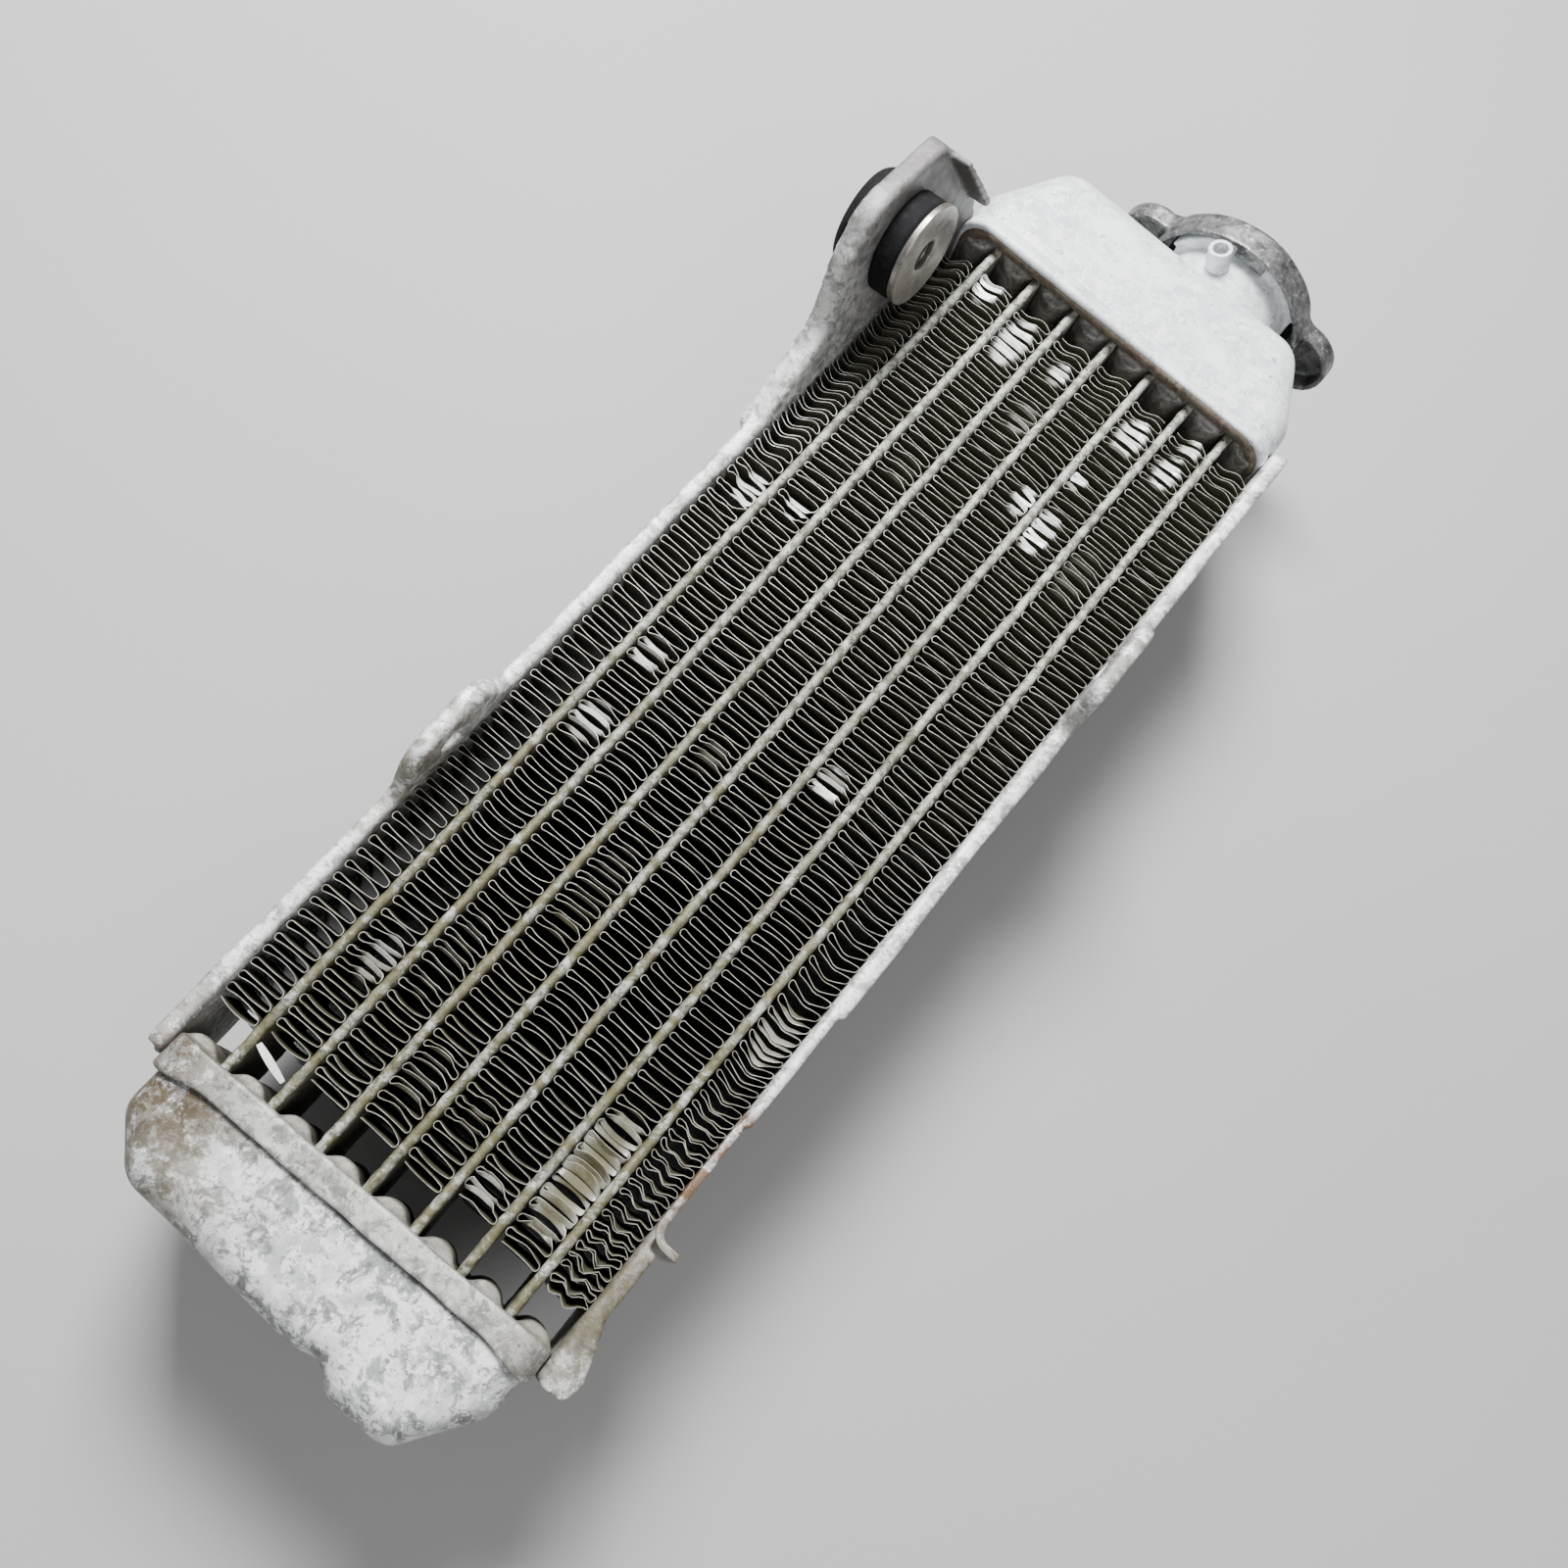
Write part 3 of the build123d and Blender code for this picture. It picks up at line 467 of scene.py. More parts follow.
def loft(rings, joined=False):
    """Faces between closed rings of equal length (ring, point, 3), either capped or joined end to end."""
    count, size = rings.shape[:2]
    faces = []
    for ring in range(count if joined else count - 1):
        here = ring * size
        there = (ring + 1) % count * size
        for point in range(size):
            beside = (point + 1) % size
            faces.append((here + point, here + beside, there + beside, there + point))
    if not joined:
        faces.append(tuple(range(size - 1, -1, -1)))
        faces.append(tuple((count - 1) * size + point for point in range(size)))
    return rings.reshape(-1, 3), faces


def oval_ring(centre, out, half_out, half_along, steps=12):
    """Oval of points about a centre, in the plane of the direction out and the Y axis."""
    turns = np.linspace(0, 2 * math.pi, steps, endpoint=False)
    along = np.array([0, 1, 0])
    return [centre + out * half_out * math.cos(turn) + along * half_along * math.sin(turn) for turn in turns]


def lathe(profile, placement, segments=96):
    """Closed profile of (radius, height) in millimetres turned about Z, then placed."""
    turns = np.linspace(0, 2 * math.pi, segments, endpoint=False)
    profile = np.array(profile, float) * MM
    size = len(profile)
    points, faces = [], []
    for turn in turns:
        for radius, height in profile:
            points.append(placement @ Vector((radius * math.cos(turn), radius * math.sin(turn), height)))
    for segment in range(segments):
        after = (segment + 1) % segments
        for corner in range(size):
            beside = (corner + 1) % size
            faces.append((segment * size + corner, after * size + corner,
                          after * size + beside, segment * size + beside))
    return points, faces


def rounded(profile, radius, steps=4):
    """Closed profile with each corner replaced by a small arc."""
    profile = [np.array(point, float) for point in profile]
    smooth = []
    for index, corner in enumerate(profile):
        before = profile[index - 1] - corner
        after = profile[(index + 1) % len(profile)] - corner
        reach = min(radius, np.linalg.norm(before) / 2.2, np.linalg.norm(after) / 2.2)
        start = corner + before / np.linalg.norm(before) * reach
        end = corner + after / np.linalg.norm(after) * reach
        for step in range(steps + 1):
            t = step / steps
            smooth.append((1 - t) ** 2 * start + 2 * t * (1 - t) * corner + t ** 2 * end)
    return smooth


def dented(points, normals, dents):
    """Points pushed along their normals by soft noise; dents are (size mm, depth mm)."""
    moved = np.array(points)
    for size, depth in dents:
        scale = 1 / (size * MM)
        push = np.array([noise.noise(Vector(point) * scale) for point in points])
        moved += normals * (push * depth * MM)[:, None]
    return moved


def softened(piece, voxel_mm, rounds):
    """The piece's shape remeshed, with its edges softly rounded."""
    remesh = piece.modifiers.new("remesh", "REMESH")
    remesh.mode = "VOXEL"
    remesh.voxel_size = voxel_mm * MM
    soften = piece.modifiers.new("soften", "SMOOTH")
    soften.factor = 0.5
    soften.iterations = rounds
    evaluated = piece.evaluated_get(bpy.context.evaluated_depsgraph_get())
    made = bpy.data.meshes.new_from_object(evaluated)
    piece.modifiers.clear()
    return made


def worn_copy(node, voxel_mm, rounds, dents, material, body="radiator"):
    """The CAD shape with softly rounded edges, dented by use, in the given material."""
    piece = bpy.data.objects.new("worn_" + node, frame["nodes"][node].data.copy())
    bpy.context.scene.collection.objects.link(piece)
    piece.data = softened(piece, voxel_mm, rounds)
    mesh = piece.data
    mesh.vertices.foreach_set("co", dented(*points_and_normals(mesh), dents).ravel())
    mesh.materials.clear()
    mesh.materials.append(MATERIALS[material])
    mesh.polygons.foreach_set("use_smooth", [True] * len(mesh.polygons))
    mesh.update()
    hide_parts(node)
    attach(piece, body)
    return piece


# ---------------------------------------------------------------- fins

STRAND_STEP = 1.5              # half a wave of the strip
CROWDED_STEP = 0.75            # share of the step where the last strip is crushed together
FIN_THICKNESS = 0.11
SIDE_GAP = 0.1                 # between the crests and the tubes
CREST_START = 0.86             # share of the half width where a crest begins to curve
CREST_END = 0.995
STRAND_POINTS = 9
CREST_POINTS = 4
FOLD_DEPTH = 1.10              # how much of the strip lies down where it is folded over
FOLD_ANGLE = math.radians(74)
DEPTH_ROWS = (0.0, 0.4, 0.75, FOLD_DEPTH, FOLD_DEPTH + 0.08, 2.6, 6.0, 14.0, 28.0)
LOUVER_BULGE = 1.7             # the strands bow along the tubes half way down, so nothing shows through
BEND_REACH = 3.2               # depth by which a knock on the front has mostly faded
DIRT_REACH = 9.0               # the same for dirt
FIRST_SEED = 500
FIRST, LAST, LONG_FLAPS = 0, 7, 6        # columns with damage of their own

# Folded patches: column, place along it and across it, half length, half width, way and strength.
FOLDED = [
    (1, 108.5, -0.35, 4.5, 0.75, 1.0), (2, 101.5, -0.1, 8.0, 0.85, 1.0), (3, 102.5, 0.2, 3.5, 0.6, 0.8),
    (4, 72.3, 0.5, 4.5, 0.6, 0.9), (5, 101.5, 0.0, 6.0, 0.8, 1.0), (5, 84.5, -0.6, 3.0, 0.5, 0.8),
    (5, 69.0, -0.4, 7.0, 0.8, 1.0), (6, 100.6, 0.0, 5.0, 0.7, 1.0), (6, 108.5, 0.2, 3.0, 0.6, 0.8),
    (5, -5.5, -0.2, 4.2, 0.85, 1.0), (1, -8.6, -0.2, 4.5, 0.85, 0.9), (1, -27.1, -0.1, 5.0, 0.95, 1.0),
    (1, 37.5, 0.2, 3.0, 0.7, -0.8), (3, -16.4, 0.0, 5.0, 0.7, 0.5), (1, -87.2, 0.3, 5.5, 0.8, 0.9),
    (0, 33.7, 0.5, 5.0, 0.9, -0.8), (5, -105.6, -0.2, 3.5, 0.85, 0.9), (1, -112.5, -0.1, 1.6, 1.1, -1.0),
    (6, -92.5, 0.1, 15.0, 1.4, 1.45), (2, -78.0, 0.0, 12.0, 0.8, 0.45), (3, -52.0, 0.1, 14.0, 0.9, 0.4),
    (3, -98.0, -0.1, 8.0, 0.9, 0.5), (4, -97.0, 0.2, 5.0, 0.7, 0.5), (7, -50.0, 0.0, 7.0, 1.0, -0.6),
    (3, 88.0, 0.3, 5.0, 0.8, 0.5), (6, 66.0, -0.2, 8.0, 0.9, 0.45), (2, 60.0, 0.2, 5.0, 0.7, 0.4),
]
# Packed dirt: column, place along it and across it, half length, strength.
DIRTY = [
    (1, -61.4, 0.1, 7.0, 0.9), (2, -63.4, -0.3, 8.0, 0.8), (4, -59.4, -0.1, 9.0, 0.8),
    (6, -93.0, 0.0, 24.0, 1.0), (3, -89.0, -0.7, 8.0, 0.8), (3, -102.2, -0.6, 7.0, 0.7),
    (4, -41.5, -0.3, 8.0, 0.6), (7, 0.7, -0.9, 5.0, 0.6), (4, 89.0, 0.0, 9.0, 0.5),
    (0, 13.7, 0.3, 22.0, 0.35), (2, -95.0, 0.2, 9.0, 0.7), (5, 20.0, 0.0, 16.0, 0.3),
    (0, -60.0, 0.0, 30.0, 0.4), (7, -100.0, 0.0, 16.0, 0.5),
]


def bell(value, middle, half):
    """Smooth weight that falls from 1 at the middle to nearly 0 beyond the half width."""
    return np.exp(-((value - middle) / half) ** 2 * 1.6)


def rise(value, start, end):
    """Smooth step from 0 to 1 between two values."""
    t = np.clip((value - start) / (end - start), 0, 1)
    return t * t * (3 - 2 * t)


def waves(place, seed, size):
    """Smooth random curve between -1 and 1 along a line."""
    return np.array([noise.noise(Vector((value / size, seed * 7.13, 0.37))) for value in place])


def zigzag(value):
    """Triangle wave between -1 and 1 with a period of 1."""
    return 4 * np.abs(value - np.floor(value + 0.5)) - 1


def strands(column, low_end, high_end, rng):
    """Place and bow of each strand of a column, in millimetres along it."""
    places = [low_end + 0.5 * STRAND_STEP]
    while places[-1] < high_end - 1.5 * STRAND_STEP:
        crowded = column == LAST and places[-1] < -58
        places.append(places[-1] + (CROWDED_STEP if crowded else 1.0) * STRAND_STEP)
    places = np.array(places)
    count = len(places)
    places = places + 0.5 * waves(places, column + 20, 9.0) + rng.normal(0, 0.06, count)
    ways = np.where(np.arange(count) % 2 == 0, -1, 1)
    bows = (0.34 + 0.20 * waves(places, column + 40, 14.0)) * ways
    common = (0.25 + 0.55 * rise(places, 20, -70)) * waves(places, column + 50, 24.0)
    return places, bows + common + rng.normal(0, 0.07, count)


def strip_path(places, bows):
    """Middle line of a strip: share across the column, place along it and strand number."""
    across, along, strand = [], [], []
    spread = np.linspace(-CREST_START, CREST_START, STRAND_POINTS)
    turns = np.linspace(-math.pi / 2, math.pi / 2, CREST_POINTS + 2)[1:-1]
    for number, (place, bow) in enumerate(zip(places, bows)):
        way = 1 if number % 2 == 0 else -1
        across.extend(way * spread)
        along.extend(place + bow * (1 - (spread / CREST_START) ** 2))
        strand.extend([number] * STRAND_POINTS)
        if number == len(places) - 1:
            continue
        gap = (places[number + 1] - place) / 2
        across.extend(way * (CREST_START + (CREST_END - CREST_START) * np.cos(turns)))
        along.extend(place + gap + gap * np.sin(turns))
        strand.extend([number] * CREST_POINTS)
    return np.array(across), np.array(along), np.array(strand)


def first_column_bend(across, along, inside):
    """Slanting waves above the middle of the first column and a knot of bent crests below them."""
    upper = rise(along, 36, 48)
    slanting = upper * 1.15 * np.sin(math.pi * (across - 0.15)) * inside ** 0.5
    return slanting + bell(along, 31, 9) * 1.3 * waves(along + 3 * across, 5, 2.6)


def last_column_bend(across, along, inside):
    """Chevrons below the middle of the last column, which turn into crushed zigzags at its foot."""
    knocked = rise(along, -8, -40)
    crumpled = rise(along, -58, -80)
    chevrons = knocked * (1 - 0.6 * crumpled) * (1.7 * np.abs(across - 0.1) - 0.9)
    phase = across + 0.9 * waves(along, 11, 5.0)
    uneven = 0.75 + 0.4 * waves(along, 12, 8.0)
    crushed = crumpled * uneven * zigzag(phase) * inside ** 0.4
    return chevrons + crushed + crumpled * 0.35 * waves(along + 3 * across, 9, 2.0)


def column_bend(column, across, along):
    """How far a strand is pushed along the column by old knocks, in millimetres."""
    inside = np.clip(1.05 - across ** 2, 0, 1)
    push = 0.55 * waves(along, column + 60, 23.0) * across
    push = push + 0.25 * waves(along, column + 80, 6.0) * inside
    lower = rise(along, -60, -105)
    push = push + lower * 0.9 * waves(along, column + 90, 4.5) * inside
    if column == FIRST:
        push = push + first_column_bend(across, along, inside)
    if column == LAST:
        push = push + last_column_bend(across, along, inside)
    top = rise(along, 98, 112)
    return push + top * 0.9 * np.sin(math.pi * across * 0.9) * inside


def fin_weights(column, across, along):
    """Folding weight, folding direction and dirt at each point of the strip."""
    folded = np.zeros_like(along)
    lean = np.zeros_like(along)
    for where, place, side, half, width, push in FOLDED:
        if where == column:
            weight = rise(bell(along, place, half) * bell(across, side, width), 0.12, 0.42)
            lean = np.clip(lean + weight * push, -1.1, 1.1)
            folded = np.maximum(folded, weight * min(1.0, abs(push) ** 2))
    dirt = np.clip(0.25 + 0.9 * waves(along, column + 7, 14.0), 0, 0.45) * rise(along, 40, -60)
    for where, place, side, half, strength in DIRTY:
        if where == column:
            dirt = np.maximum(dirt, strength * bell(along, place, half) * bell(across, side, 1.3))
    return folded, lean, np.clip(dirt, 0, 1)


def flap_length(column, across, along):
    """Length of the folded flaps against the usual one."""
    if column != LONG_FLAPS:
        return 1
    return 1 + 0.75 * bell(along, -93, 13) * np.clip(1.1 - across ** 2, 0, 1)


def fin_strip(column):
    """Corrugated strip of one column as a closed thin ribbon."""
    node = FIN_NODES[column]
    low, high = node_box(node)
    rng = np.random.default_rng(FIRST_SEED + column)
    middle = (low[0] + high[0]) / 2
    half = (high[0] - low[0]) / 2 - SIDE_GAP * MM
    low_end = (low[1] - CORE[1]) / MM + rng.uniform(0, 2.0)
    high_end = (high[1] - CORE[1]) / MM - rng.uniform(0, 1.0)
    across, along, strand = strip_path(*strands(column, low_end, high_end, rng))
    folded, lean, dirt = fin_weights(column, across, along)
    count = strand.max() + 1
    turn = lean * (1 + 0.22 * rng.normal(0, 1, count)[strand]) * FOLD_ANGLE
    uneven = rng.normal(0, 0.10, count)[strand]
    bend = column_bend(column, across, along)
    longer = flap_length(column, across, along)
    rows = []
    for depth in DEPTH_ROWS:
        near = math.exp(-depth / BEND_REACH)
        flap = max(0.0, FOLD_DEPTH - depth)
        y = along + bend * (0.35 + 0.65 * near) + flap * longer * np.sin(turn)
        y = y + LOUVER_BULGE * math.sin(math.pi * depth / DEPTH_ROWS[-1])
        z = -depth - flap * (1 - longer * np.cos(turn)) - np.abs(uneven) * near
        z = np.minimum(z, 0)
        rows.append(np.stack([middle + across * half, CORE[1] + y * MM, high[2] + z * MM], axis=1))
    return ribbon(node, np.array(rows), folded, dirt)


def both_sides(rows):
    """The two surfaces of a sheet of even thickness about the given middle sheet (row, point, 3)."""
    tangent = np.gradient(rows, axis=1)
    normal = np.stack([-tangent[..., 1], tangent[..., 0], np.zeros(rows.shape[:2])], axis=2)
    normal /= np.maximum(np.linalg.norm(normal, axis=2, keepdims=True), 1e-9)
    offset = normal * FIN_THICKNESS / 2 * MM
    return np.concatenate([(rows + offset).reshape(-1, 3), (rows - offset).reshape(-1, 3)])


def ribbon_faces(count, size):
    """Faces of a closed ribbon of rows and points, and 1 for those on its front edge."""
    other = count * size
    i = np.arange(size - 1)
    faces, kinds = [], []
    for row in range(count - 1):
        a, b = row * size + i, (row + 1) * size + i
        faces.append(np.stack([a, a + 1, b + 1, b], axis=1))
        faces.append(np.stack([other + a, other + b, other + b + 1, other + a + 1], axis=1))
        kinds.extend([0] * (2 * (size - 1)))
    faces.append(np.stack([i, other + i, other + i + 1, i + 1], axis=1))
    kinds.extend([1] * (size - 1))
    back = (count - 1) * size + i
    faces.append(np.stack([back, back + 1, other + back + 1, other + back], axis=1))
    kinds.extend([0] * (size - 1))
    first = np.arange(count - 1) * size
    last = first + size - 1
    faces.append(np.stack([first, first + size, other + first + size, other + first], axis=1))
    faces.append(np.stack([last, other + last, other + last + size, last + size], axis=1))
    kinds.extend([0] * (2 * (count - 1)))
    return np.concatenate(faces).tolist(), kinds


def ribbon(node, rows, folded, dirt):
    """Closed ribbon about the given middle sheet, painted bright where it is folded, partly as wear and
    partly as painted highlight.
    """
    count, size = rows.shape[:2]
    faces, kinds = ribbon_faces(count, size)
    piece = add_piece("strip_" + node, both_sides(rows), faces, ["fin", "fin_edge"], "radiator",
                      [node], kinds)
    # The folded flaps are painted bright, partly as wear and partly as painted highlight.
    wear_and_highlight = rise(folded, 0.15, 0.45) * (1 - dirt) ** 2
    depth = np.repeat(np.array(DEPTH_ROWS), size)
    in_flap = np.where(depth <= FOLD_DEPTH, 1.0, 0.0)
    set_numbers(piece, "wear_and_highlight", np.tile(wear_and_highlight, count * 2) * np.tile(in_flap, 2))
    set_numbers(piece, "dirt", np.tile(dirt, count * 2) * np.tile(np.exp(-depth / DIRT_REACH), 2))
    piece.data.set_sharp_from_angle(angle=math.radians(50))
    return piece


def loose_strand():
    """End of the second strip that has torn off and hangs towards the bottom header."""
    low, high = node_box("fin_2")
    start = np.array([low[0] + 0.5 * MM, low[1] + 0.1 * MM, high[2] - 0.3 * MM])
    end = np.array([high[0] - 0.8 * MM, low[1] - 2.2 * MM, high[2] - 1.3 * MM])
    side = np.array([0.30, 0.95, 0.10])
    up = np.array([0.1, -0.1, 0.99]) * 0.07 * MM
    rings = []
    for share in np.linspace(0, 1, 13):
        middle = start + (end - start) * share
        middle[2] += 0.7 * MM * math.sin(math.pi * share)
        half = 0.75 * (0.45 + 0.55 * math.sin(math.pi * (0.15 + 0.75 * share))) * MM
        rings.append([middle - half * side - up, middle + half * side - up,
                      middle + half * side + up, middle - half * side + up])
    points, faces = loft(np.array(rings))
    piece = add_piece("loose_strand", points, faces, ["fin"], "radiator", [])
    # The torn strand is painted bright all over, partly as wear and partly as painted highlight.
    set_numbers(piece, "wear_and_highlight", [1.0] * len(points))
    set_numbers(piece, "dirt", [0.0] * len(points))
    piece.data.set_sharp_from_angle(angle=math.radians(40))


# ---------------------------------------------------------------- tubes

TUBE_RINGS = 420
LUMP_HEIGHT = 0.16
TUBE_WANDER = 0.22


def tube_section(radius, straight):
    """Outline of a flat tube across and in depth: two round edges and straight sides."""
    turns = np.linspace(0, math.pi, 9)
    front = [(radius * math.cos(t), straight + radius * math.sin(t)) for t in turns]
    sides = [(-radius, straight * share) for share in (0.9, 0.6, 0.0, -0.6)]
    half = front + sides
    return np.array(half + [(-x, -z) for x, z in half])


def flat_tube(node, seed):
    """Flat tube with round edges, lumpy with brazing where the fins touch it."""
    low, high = node_box(node)
    middle = (low + high) / 2
    radius = (high[0] - low[0]) / 2
    straight = (high[2] - low[2]) / 2 - radius
    section = tube_section(radius, straight)
    rings = np.array([np.stack([middle[0] + section[:, 0], np.full(len(section), y),
                                middle[2] + section[:, 1]], axis=1)
                      for y in np.linspace(low[1], high[1], TUBE_RINGS)])
    flat = rings.reshape(-1, 3)
    wander = np.array([noise.noise(Vector((seed * 3.1, y / (28 * MM), 0.2))) for y in flat[:, 1]])
    lumps = np.array([noise.noise(Vector((x / (1.5 * MM), y / (1.7 * MM), z / (2.5 * MM))))
                      for x, y, z in flat])
    outward = flat - np.array([middle[0], 0, middle[2]])
    outward[:, 1] = 0
    outward[:, 2] -= np.clip(outward[:, 2], -straight, straight)
    outward /= np.maximum(np.linalg.norm(outward, axis=1, keepdims=True), 1e-9)
    flat = flat + outward * (lumps * LUMP_HEIGHT * MM)[:, None]
    flat[:, 0] += wander * TUBE_WANDER * MM
    points, faces = loft(flat.reshape(rings.shape))
    return add_piece("body_" + node, points, faces, ["tube"], "radiator", [node])


# ---------------------------------------------------------------- turned parts

def turned(name, profile, placement, material, node, radius):
    """Lathe-turned piece of the radiator that stands for one CAD node."""
    points, faces = lathe(rounded(profile, radius), placement)
    return add_piece(name, points, faces, [material], "radiator", [node])


def mount_placement():
    """Middle of the mounting sleeve, with Z along its axis outwards."""
    mount = next(m for m in frame["record"]["mounts"] if m["name"] == "rubber_mount_bolt")
    axis = Vector(mount["axis"]).normalized()
    turn = axis.to_track_quat("Z", "Y").to_matrix().to_4x4()
    return Matrix.Translation(Vector(mount["pos_m"])) @ turn, mount["dims"]


def rubber_mount():
    """Bush, sleeve and washer on the ear, along the axis of the mounting bolt; radii and heights in mm."""
    placement, dims = mount_placement()
    bore = dims["r_mm"]
    half = dims["length_mm"] / 2
    washer = 11.3
    washer_out = -half + 1.5
    sleeve = 5.0
    neck, inner_flange, outer_flange, chamfer, recess = 9.5, 11.2, 11.6, 10.6, 0.7
    bush_end = half - 0.6
    groove = washer_out + 5.0
    groove_end = groove + 1.6
    dish = [(bore, -half + 0.25), (bore + 1.0, -half), (washer, -half), (washer, washer_out),
            (bore, washer_out)]
    tube = [(bore, washer_out + 0.02), (sleeve, washer_out + 0.02), (sleeve, half), (bore, half)]
    bush = [(sleeve, washer_out), (chamfer, washer_out), (inner_flange, washer_out + 0.8),
            (inner_flange, groove), (neck, groove), (neck, groove_end), (outer_flange, groove_end),
            (outer_flange, bush_end - 1.5), (chamfer, bush_end), (8.0, bush_end), (7.4, bush_end - recess),
            (6.2, bush_end - recess), (5.8, bush_end), (sleeve, bush_end)]
    turned("mount_washer_disc", dish, placement, "steel", "mount_washer", radius=0.3)
    turned("mount_sleeve", tube, placement, "steel", "mount_collar", radius=0.25)
    turned("mount_bush", bush, placement, "rubber", "mount_grommet", radius=0.5)


def hose_spigots():
    """Straight spigots on the back of the tanks, with a rolled lip at the tip."""
    for node, tank in (("inlet_nipple", "top_tank"), ("outlet_nipple", "bottom_tank")):
        low, high = node_box(node)
        middle = (low + high) / 2
        length = (high[2] - low[2]) / MM
        lip = (high[0] - low[0]) / 2 / MM
        bore, pipe = lip - 1.5, lip - 0.5
        placement = Matrix.Translation(Vector((middle[0], middle[1], low[2])))
        profile = [(bore, 0), (lip - 0.4, 0), (lip, 0.7), (lip, 15.6), (pipe, 16.3), (pipe, length),
                   (bore, length)]
        turned("spigot_" + node, profile, placement, tank, node, radius=0.6)


# ---------------------------------------------------------------- pressed and bent parts

def seam_bead():
    """Dark rolled seam between the top header and the skirt of its tank."""
    low, high = node_box("top_header")
    seam = node_box("top_tank")[0][1] + 0.5 * MM
    middle = (low + high) / 2
    inset = 0.5 * MM
    half_x = (high[0] - low[0]) / 2 - inset
    half_z = (high[2] - low[2]) / 2 - inset
    corner = 6.5 * MM
    rings = []
    for quarter, (way_x, way_z) in enumerate(((1, 1), (-1, 1), (-1, -1), (1, -1))):
        centre_x = middle[0] + way_x * (half_x - corner)
        centre_z = middle[2] + way_z * (half_z - corner)
        for turn in np.linspace(quarter * math.pi / 2, (quarter + 1) * math.pi / 2, 10):
            out = np.array([math.cos(turn), 0, math.sin(turn)])
            centre = np.array([centre_x, seam, centre_z]) + corner * out
            rings.append(oval_ring(centre, out, 1.5 * MM, 1.1 * MM))
    points, faces = loft(np.array(rings), joined=True)
    return add_piece("seam_bead", points, faces, ["bead"], "radiator", [])


def squeezed(share):
    """Keeps the rounding of a tall thin section close to its two ends."""
    return float(np.interp(share, (0, 0.12, 0.88, 1), (0, 0.02, 0.98, 1)))


def bent_bracket():
    """Angle strip beside the notch of the right plate: its lower end turns outwards in a round bend."""
    low, high = node_box("lower_right_bracket")
    thick = 1.6 * MM
    bend = 3.2 * MM
    proud = 0.35 * MM
    x = low[0] - thick / 2
    bottom = low[1] + thick / 2
    route = [(x, y, 1.0, 0.0) for y in np.linspace(high[1], bottom + bend, 14)]
    for turn in np.linspace(0, math.pi / 2, 9)[1:]:
        route.append((x + bend * (1 - math.cos(turn)), bottom + bend * (1 - math.sin(turn)),
                      math.cos(turn), math.sin(turn)))
    route.extend((end, bottom, 0.0, 1.0) for end in np.linspace(x + bend, high[0] - thick / 2, 5)[1:])
    section = rounded([(-0.5, 0.0), (0.5, 0.0), (0.5, 1.0), (-0.5, 1.0)], 0.12, 3)
    height = high[2] + proud - low[2]
    rings = []
    for place_x, place_y, out_x, out_y in route:
        rings.append([(place_x + u * thick * out_x, place_y + u * thick * out_y,
                       low[2] + squeezed(v) * height) for u, v in section])
    points, faces = loft(np.array(rings))
    return add_piece("bent_bracket", points, faces, ["side_plate"], "radiator",
                     ["lower_right_bracket"])


def creased(piece):
    """Pressed crease round the top tank, a little above the edge of its skirt."""
    low = node_box("top_tank")[0]
    points, normals = points_and_normals(piece.data)
    along = (points[:, 1] - low[1]) / MM
    depth = 0.45 * bell(along, 4.2, 0.9) - 0.25 * bell(along, 1.0, 1.2)
    points = points - normals * (depth * MM)[:, None]
    piece.data.vertices.foreach_set("co", points.ravel())
    piece.data.update()


def flared_ends(piece):
    """The rim of the bottom header is deeper where it meets the side plates."""
    low, high = node_box("bottom_header")
    middle = (low[0] + high[0]) / 2
    half = (high[0] - low[0]) / 2
    rim = low[1] + 3.5 * MM
    for vertex in piece.data.vertices:
        share = rise(abs(vertex.co.x - middle) / half, 0.72, 0.95)
        if vertex.co.y < rim:
            vertex.co.y -= share * 1.6 * MM
    piece.data.update()


def coil(node, wire_mm, turns=3, steps=48):
    """Coil spring along Y from the low to the high end of its CAD node's box."""
    low, high = node_box(node)
    wire = wire_mm * MM
    radius = (high[0] - low[0]) / 2 - wire
    middle = (low + high) / 2
    rings = []
    for share in np.linspace(0, 1, steps * turns + 1):
        turn = 2 * math.pi * turns * share
        out = np.array([math.cos(turn), 0, math.sin(turn)])
        centre = np.array([middle[0], low[1] + wire + (high[1] - low[1] - 2 * wire) * share, middle[2]])
        rings.append(oval_ring(centre + out * radius, out, wire, wire))
    points, faces = loft(np.array(rings))
    piece = add_piece("coil_" + node, points, faces, ["steel"], None, [node])
    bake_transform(piece)


# ---------------------------------------------------------------- assembly

# The parts inside the cap keep their CAD shape.
INNER_PARTS = {"cap_rivet": "steel", "cap_bell": "steel", "cap_gasket": "rubber",
               "valve_plate": "steel", "valve_seal": "rubber", "vacuum_valve": "brass"}


def build_core():
    """Strips and tubes."""
    loose_strand()
    for column in range(len(FIN_NODES)):
        fin_strip(column)
    for seed, node in enumerate(TUBE_NODES):
        flat_tube(node, seed)


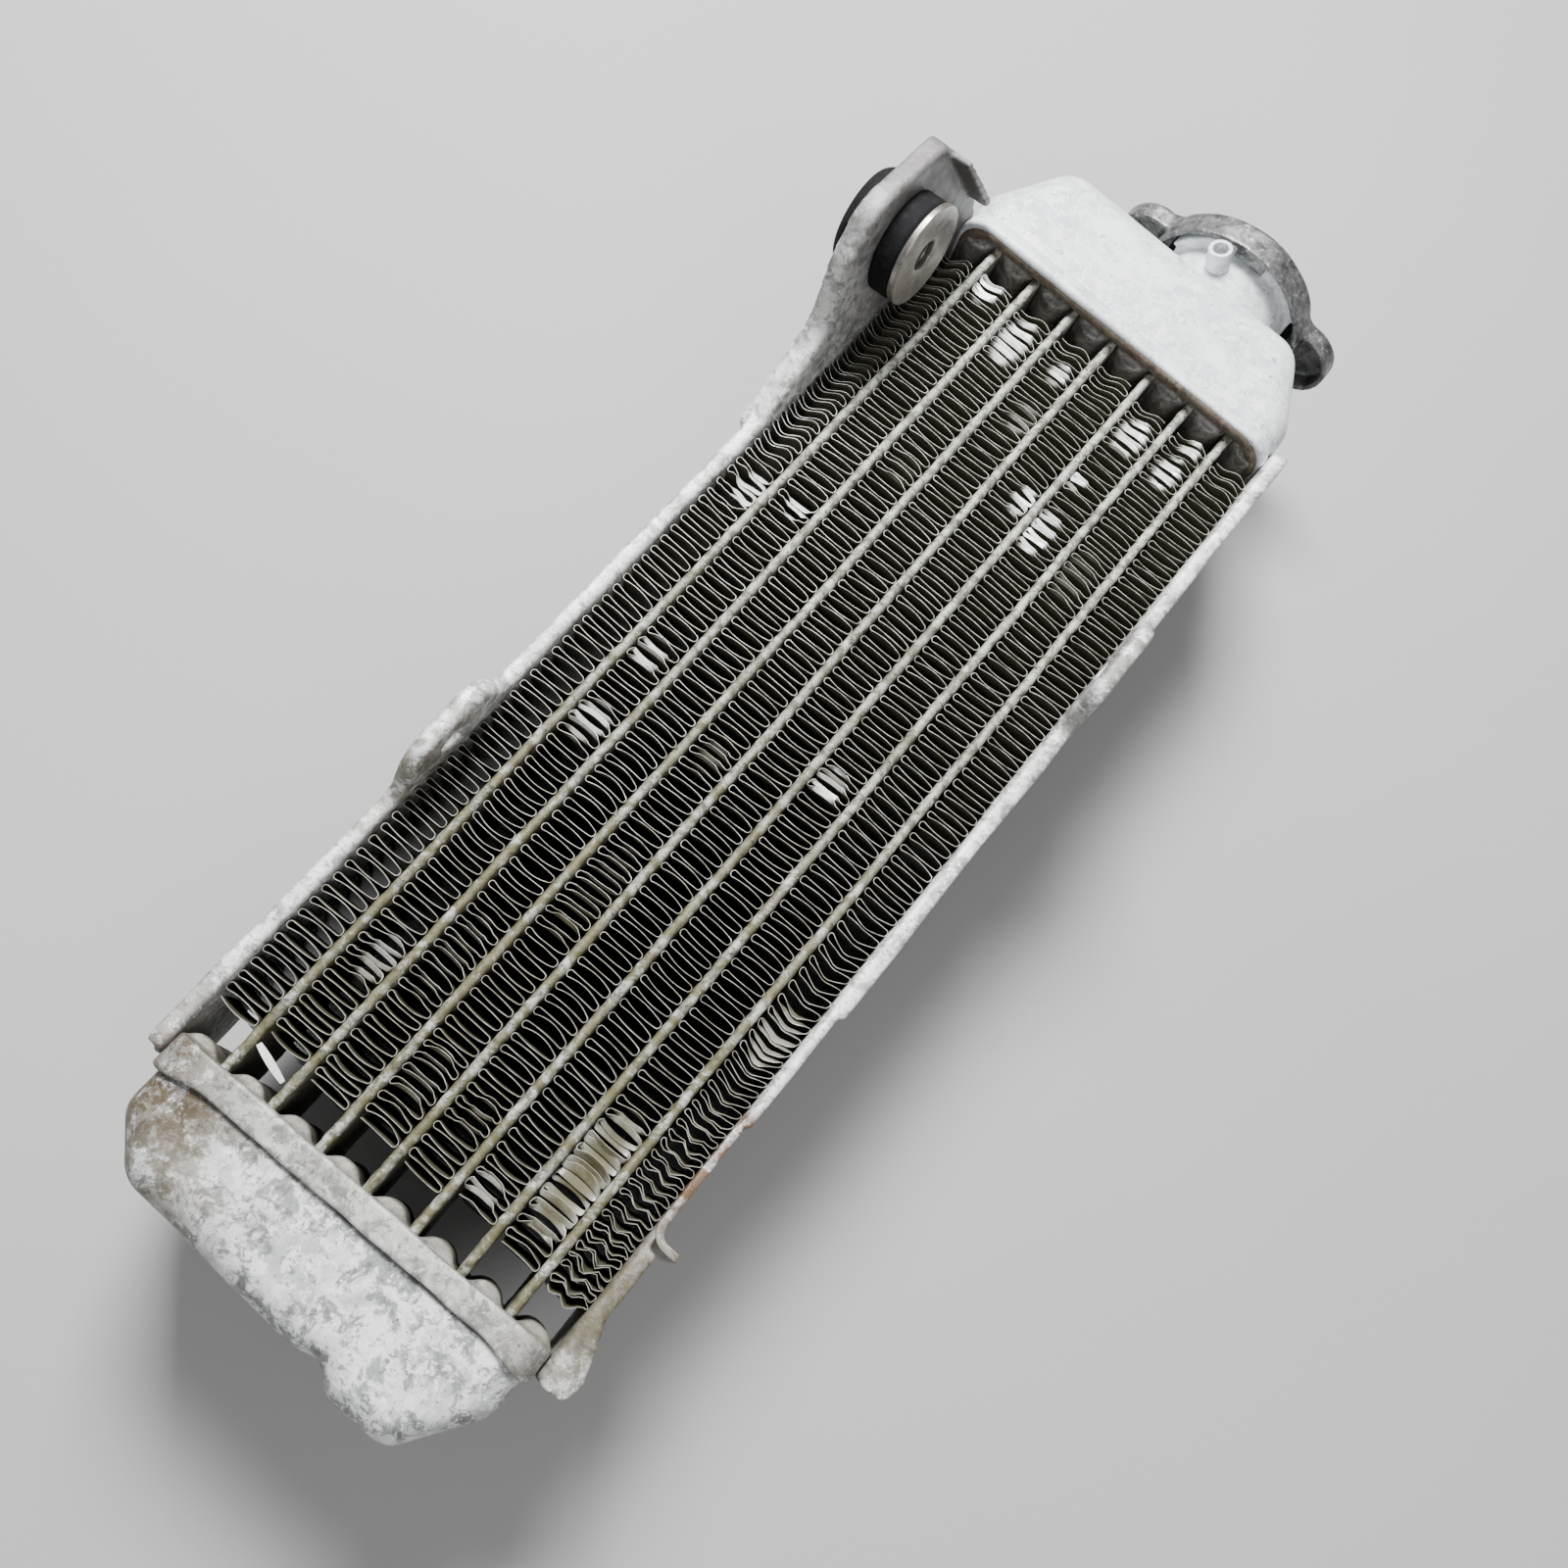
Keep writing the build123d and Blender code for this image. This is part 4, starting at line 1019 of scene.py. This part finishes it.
def build_shell():
    """Tanks, headers, side plates, neck and cap."""
    worn_copy("bottom_tank", 0.6, 6, [(26, 0.5), (9, 0.22), (3, 0.07)], "bottom_tank")
    creased(worn_copy("top_tank", 0.6, 5, [(30, 0.35), (8, 0.10)], "top_tank"))
    flared_ends(worn_copy("bottom_header", 0.5, 5, [(18, 0.45), (6, 0.18)], "header"))
    seam_bead()
    worn_copy("top_header", 0.5, 5, [(18, 0.3), (6, 0.12)], "top_header")
    for node in ("left_side_plate", "right_side_plate"):
        worn_copy(node, 0.55, 4, [(32, 0.5), (9, 0.18)], "side_plate")
    bent_bracket()
    worn_copy("filler_neck", 0.45, 5, [(12, 0.15)], "top_tank")
    worn_copy("overflow_nipple", 0.25, 3, [(4, 0.1)], "top_tank")
    worn_copy("cap_cover", 0.4, 5, [(10, 0.2), (4, 0.08)], "cap", body="cap_cover")


def build_fittings():
    """Rubber mount, spigots, springs and the parts inside the cap."""
    rubber_mount()
    hose_spigots()
    coil("pressure_spring", 0.7)
    coil("vacuum_spring", 0.2)
    for node, material in INNER_PARTS.items():
        for material_slot in frame["nodes"][node].material_slots:
            material_slot.link = "OBJECT"
            material_slot.material = MATERIALS[material]


# ---------------------------------------------------------------- stage

CAMERA_PLACE = (23.5, -110.4, 289.8)     # from the middle of the front of the core, in millimetres
LOOK_AT = (8.8, -11.4, 0.0)
CAMERA_UP = (-0.641, 0.716, 0.277)
LENS = 36.0
SENSOR = 36.0
FLOOR_SIZE = 6
SKY = (0.95, 0.97, 1.0, 1)
SKY_STRENGTH = 0.19


def add_camera():
    """Camera above the core, a little towards the bottom tank; the core runs up to the right in its view."""
    data = bpy.data.cameras.new("camera")
    camera = bpy.data.objects.new("camera", data)
    bpy.context.scene.collection.objects.link(camera)
    data.lens = LENS
    data.sensor_width = SENSOR
    data.clip_start = 0.01
    place = Vector(CORE) + Vector(CAMERA_PLACE) * MM
    aim = Vector(CORE) + Vector(LOOK_AT) * MM
    back = (place - aim).normalized()
    right = Vector(CAMERA_UP).cross(back).normalized()
    up = back.cross(right)
    turn = Matrix((right, up, back)).transposed().to_4x4()
    camera.matrix_world = Matrix.Translation(place) @ turn
    bpy.context.scene.camera = camera


def add_area_light(name, place, size, power):
    """Large soft lamp turned towards the core; place is in metres from the middle of its front."""
    data = bpy.data.lights.new(name, "AREA")
    data.shape = "SQUARE"
    data.size = size
    data.energy = power
    lamp = bpy.data.objects.new(name, data)
    bpy.context.scene.collection.objects.link(lamp)
    lamp.location = Vector(CORE) + Vector(place)
    lamp.rotation_euler = (-Vector(place)).to_track_quat("-Z", "Y").to_euler()


def add_stage():
    """Pale floor, even pale surroundings and soft lamps."""
    bpy.ops.mesh.primitive_plane_add(size=FLOOR_SIZE, location=(0, 0, 0))
    floor = bpy.context.object
    floor.name = "floor"
    paint = Paint("pale_floor")
    colour = paint.ramp(paint.noise(300, 3, 0.5), [(0.3, (0.40, 0.40, 0.395)), (0.7, (0.43, 0.43, 0.425))])
    floor.data.materials.append(paint.finish(colour, 0.8, 0.0))
    world = bpy.data.worlds.new("studio")
    bpy.context.scene.world = world
    world.use_nodes = True
    background = world.node_tree.nodes["Background"]
    background.inputs["Color"].default_value = SKY
    background.inputs["Strength"].default_value = SKY_STRENGTH
    add_area_light("key", (-0.30, 0.35, 0.65), size=0.30, power=20.0)
    add_area_light("fill", (0.45, -0.45, 0.70), size=0.6, power=4.0)


build_core()
build_shell()
build_fittings()
add_camera()
add_stage()
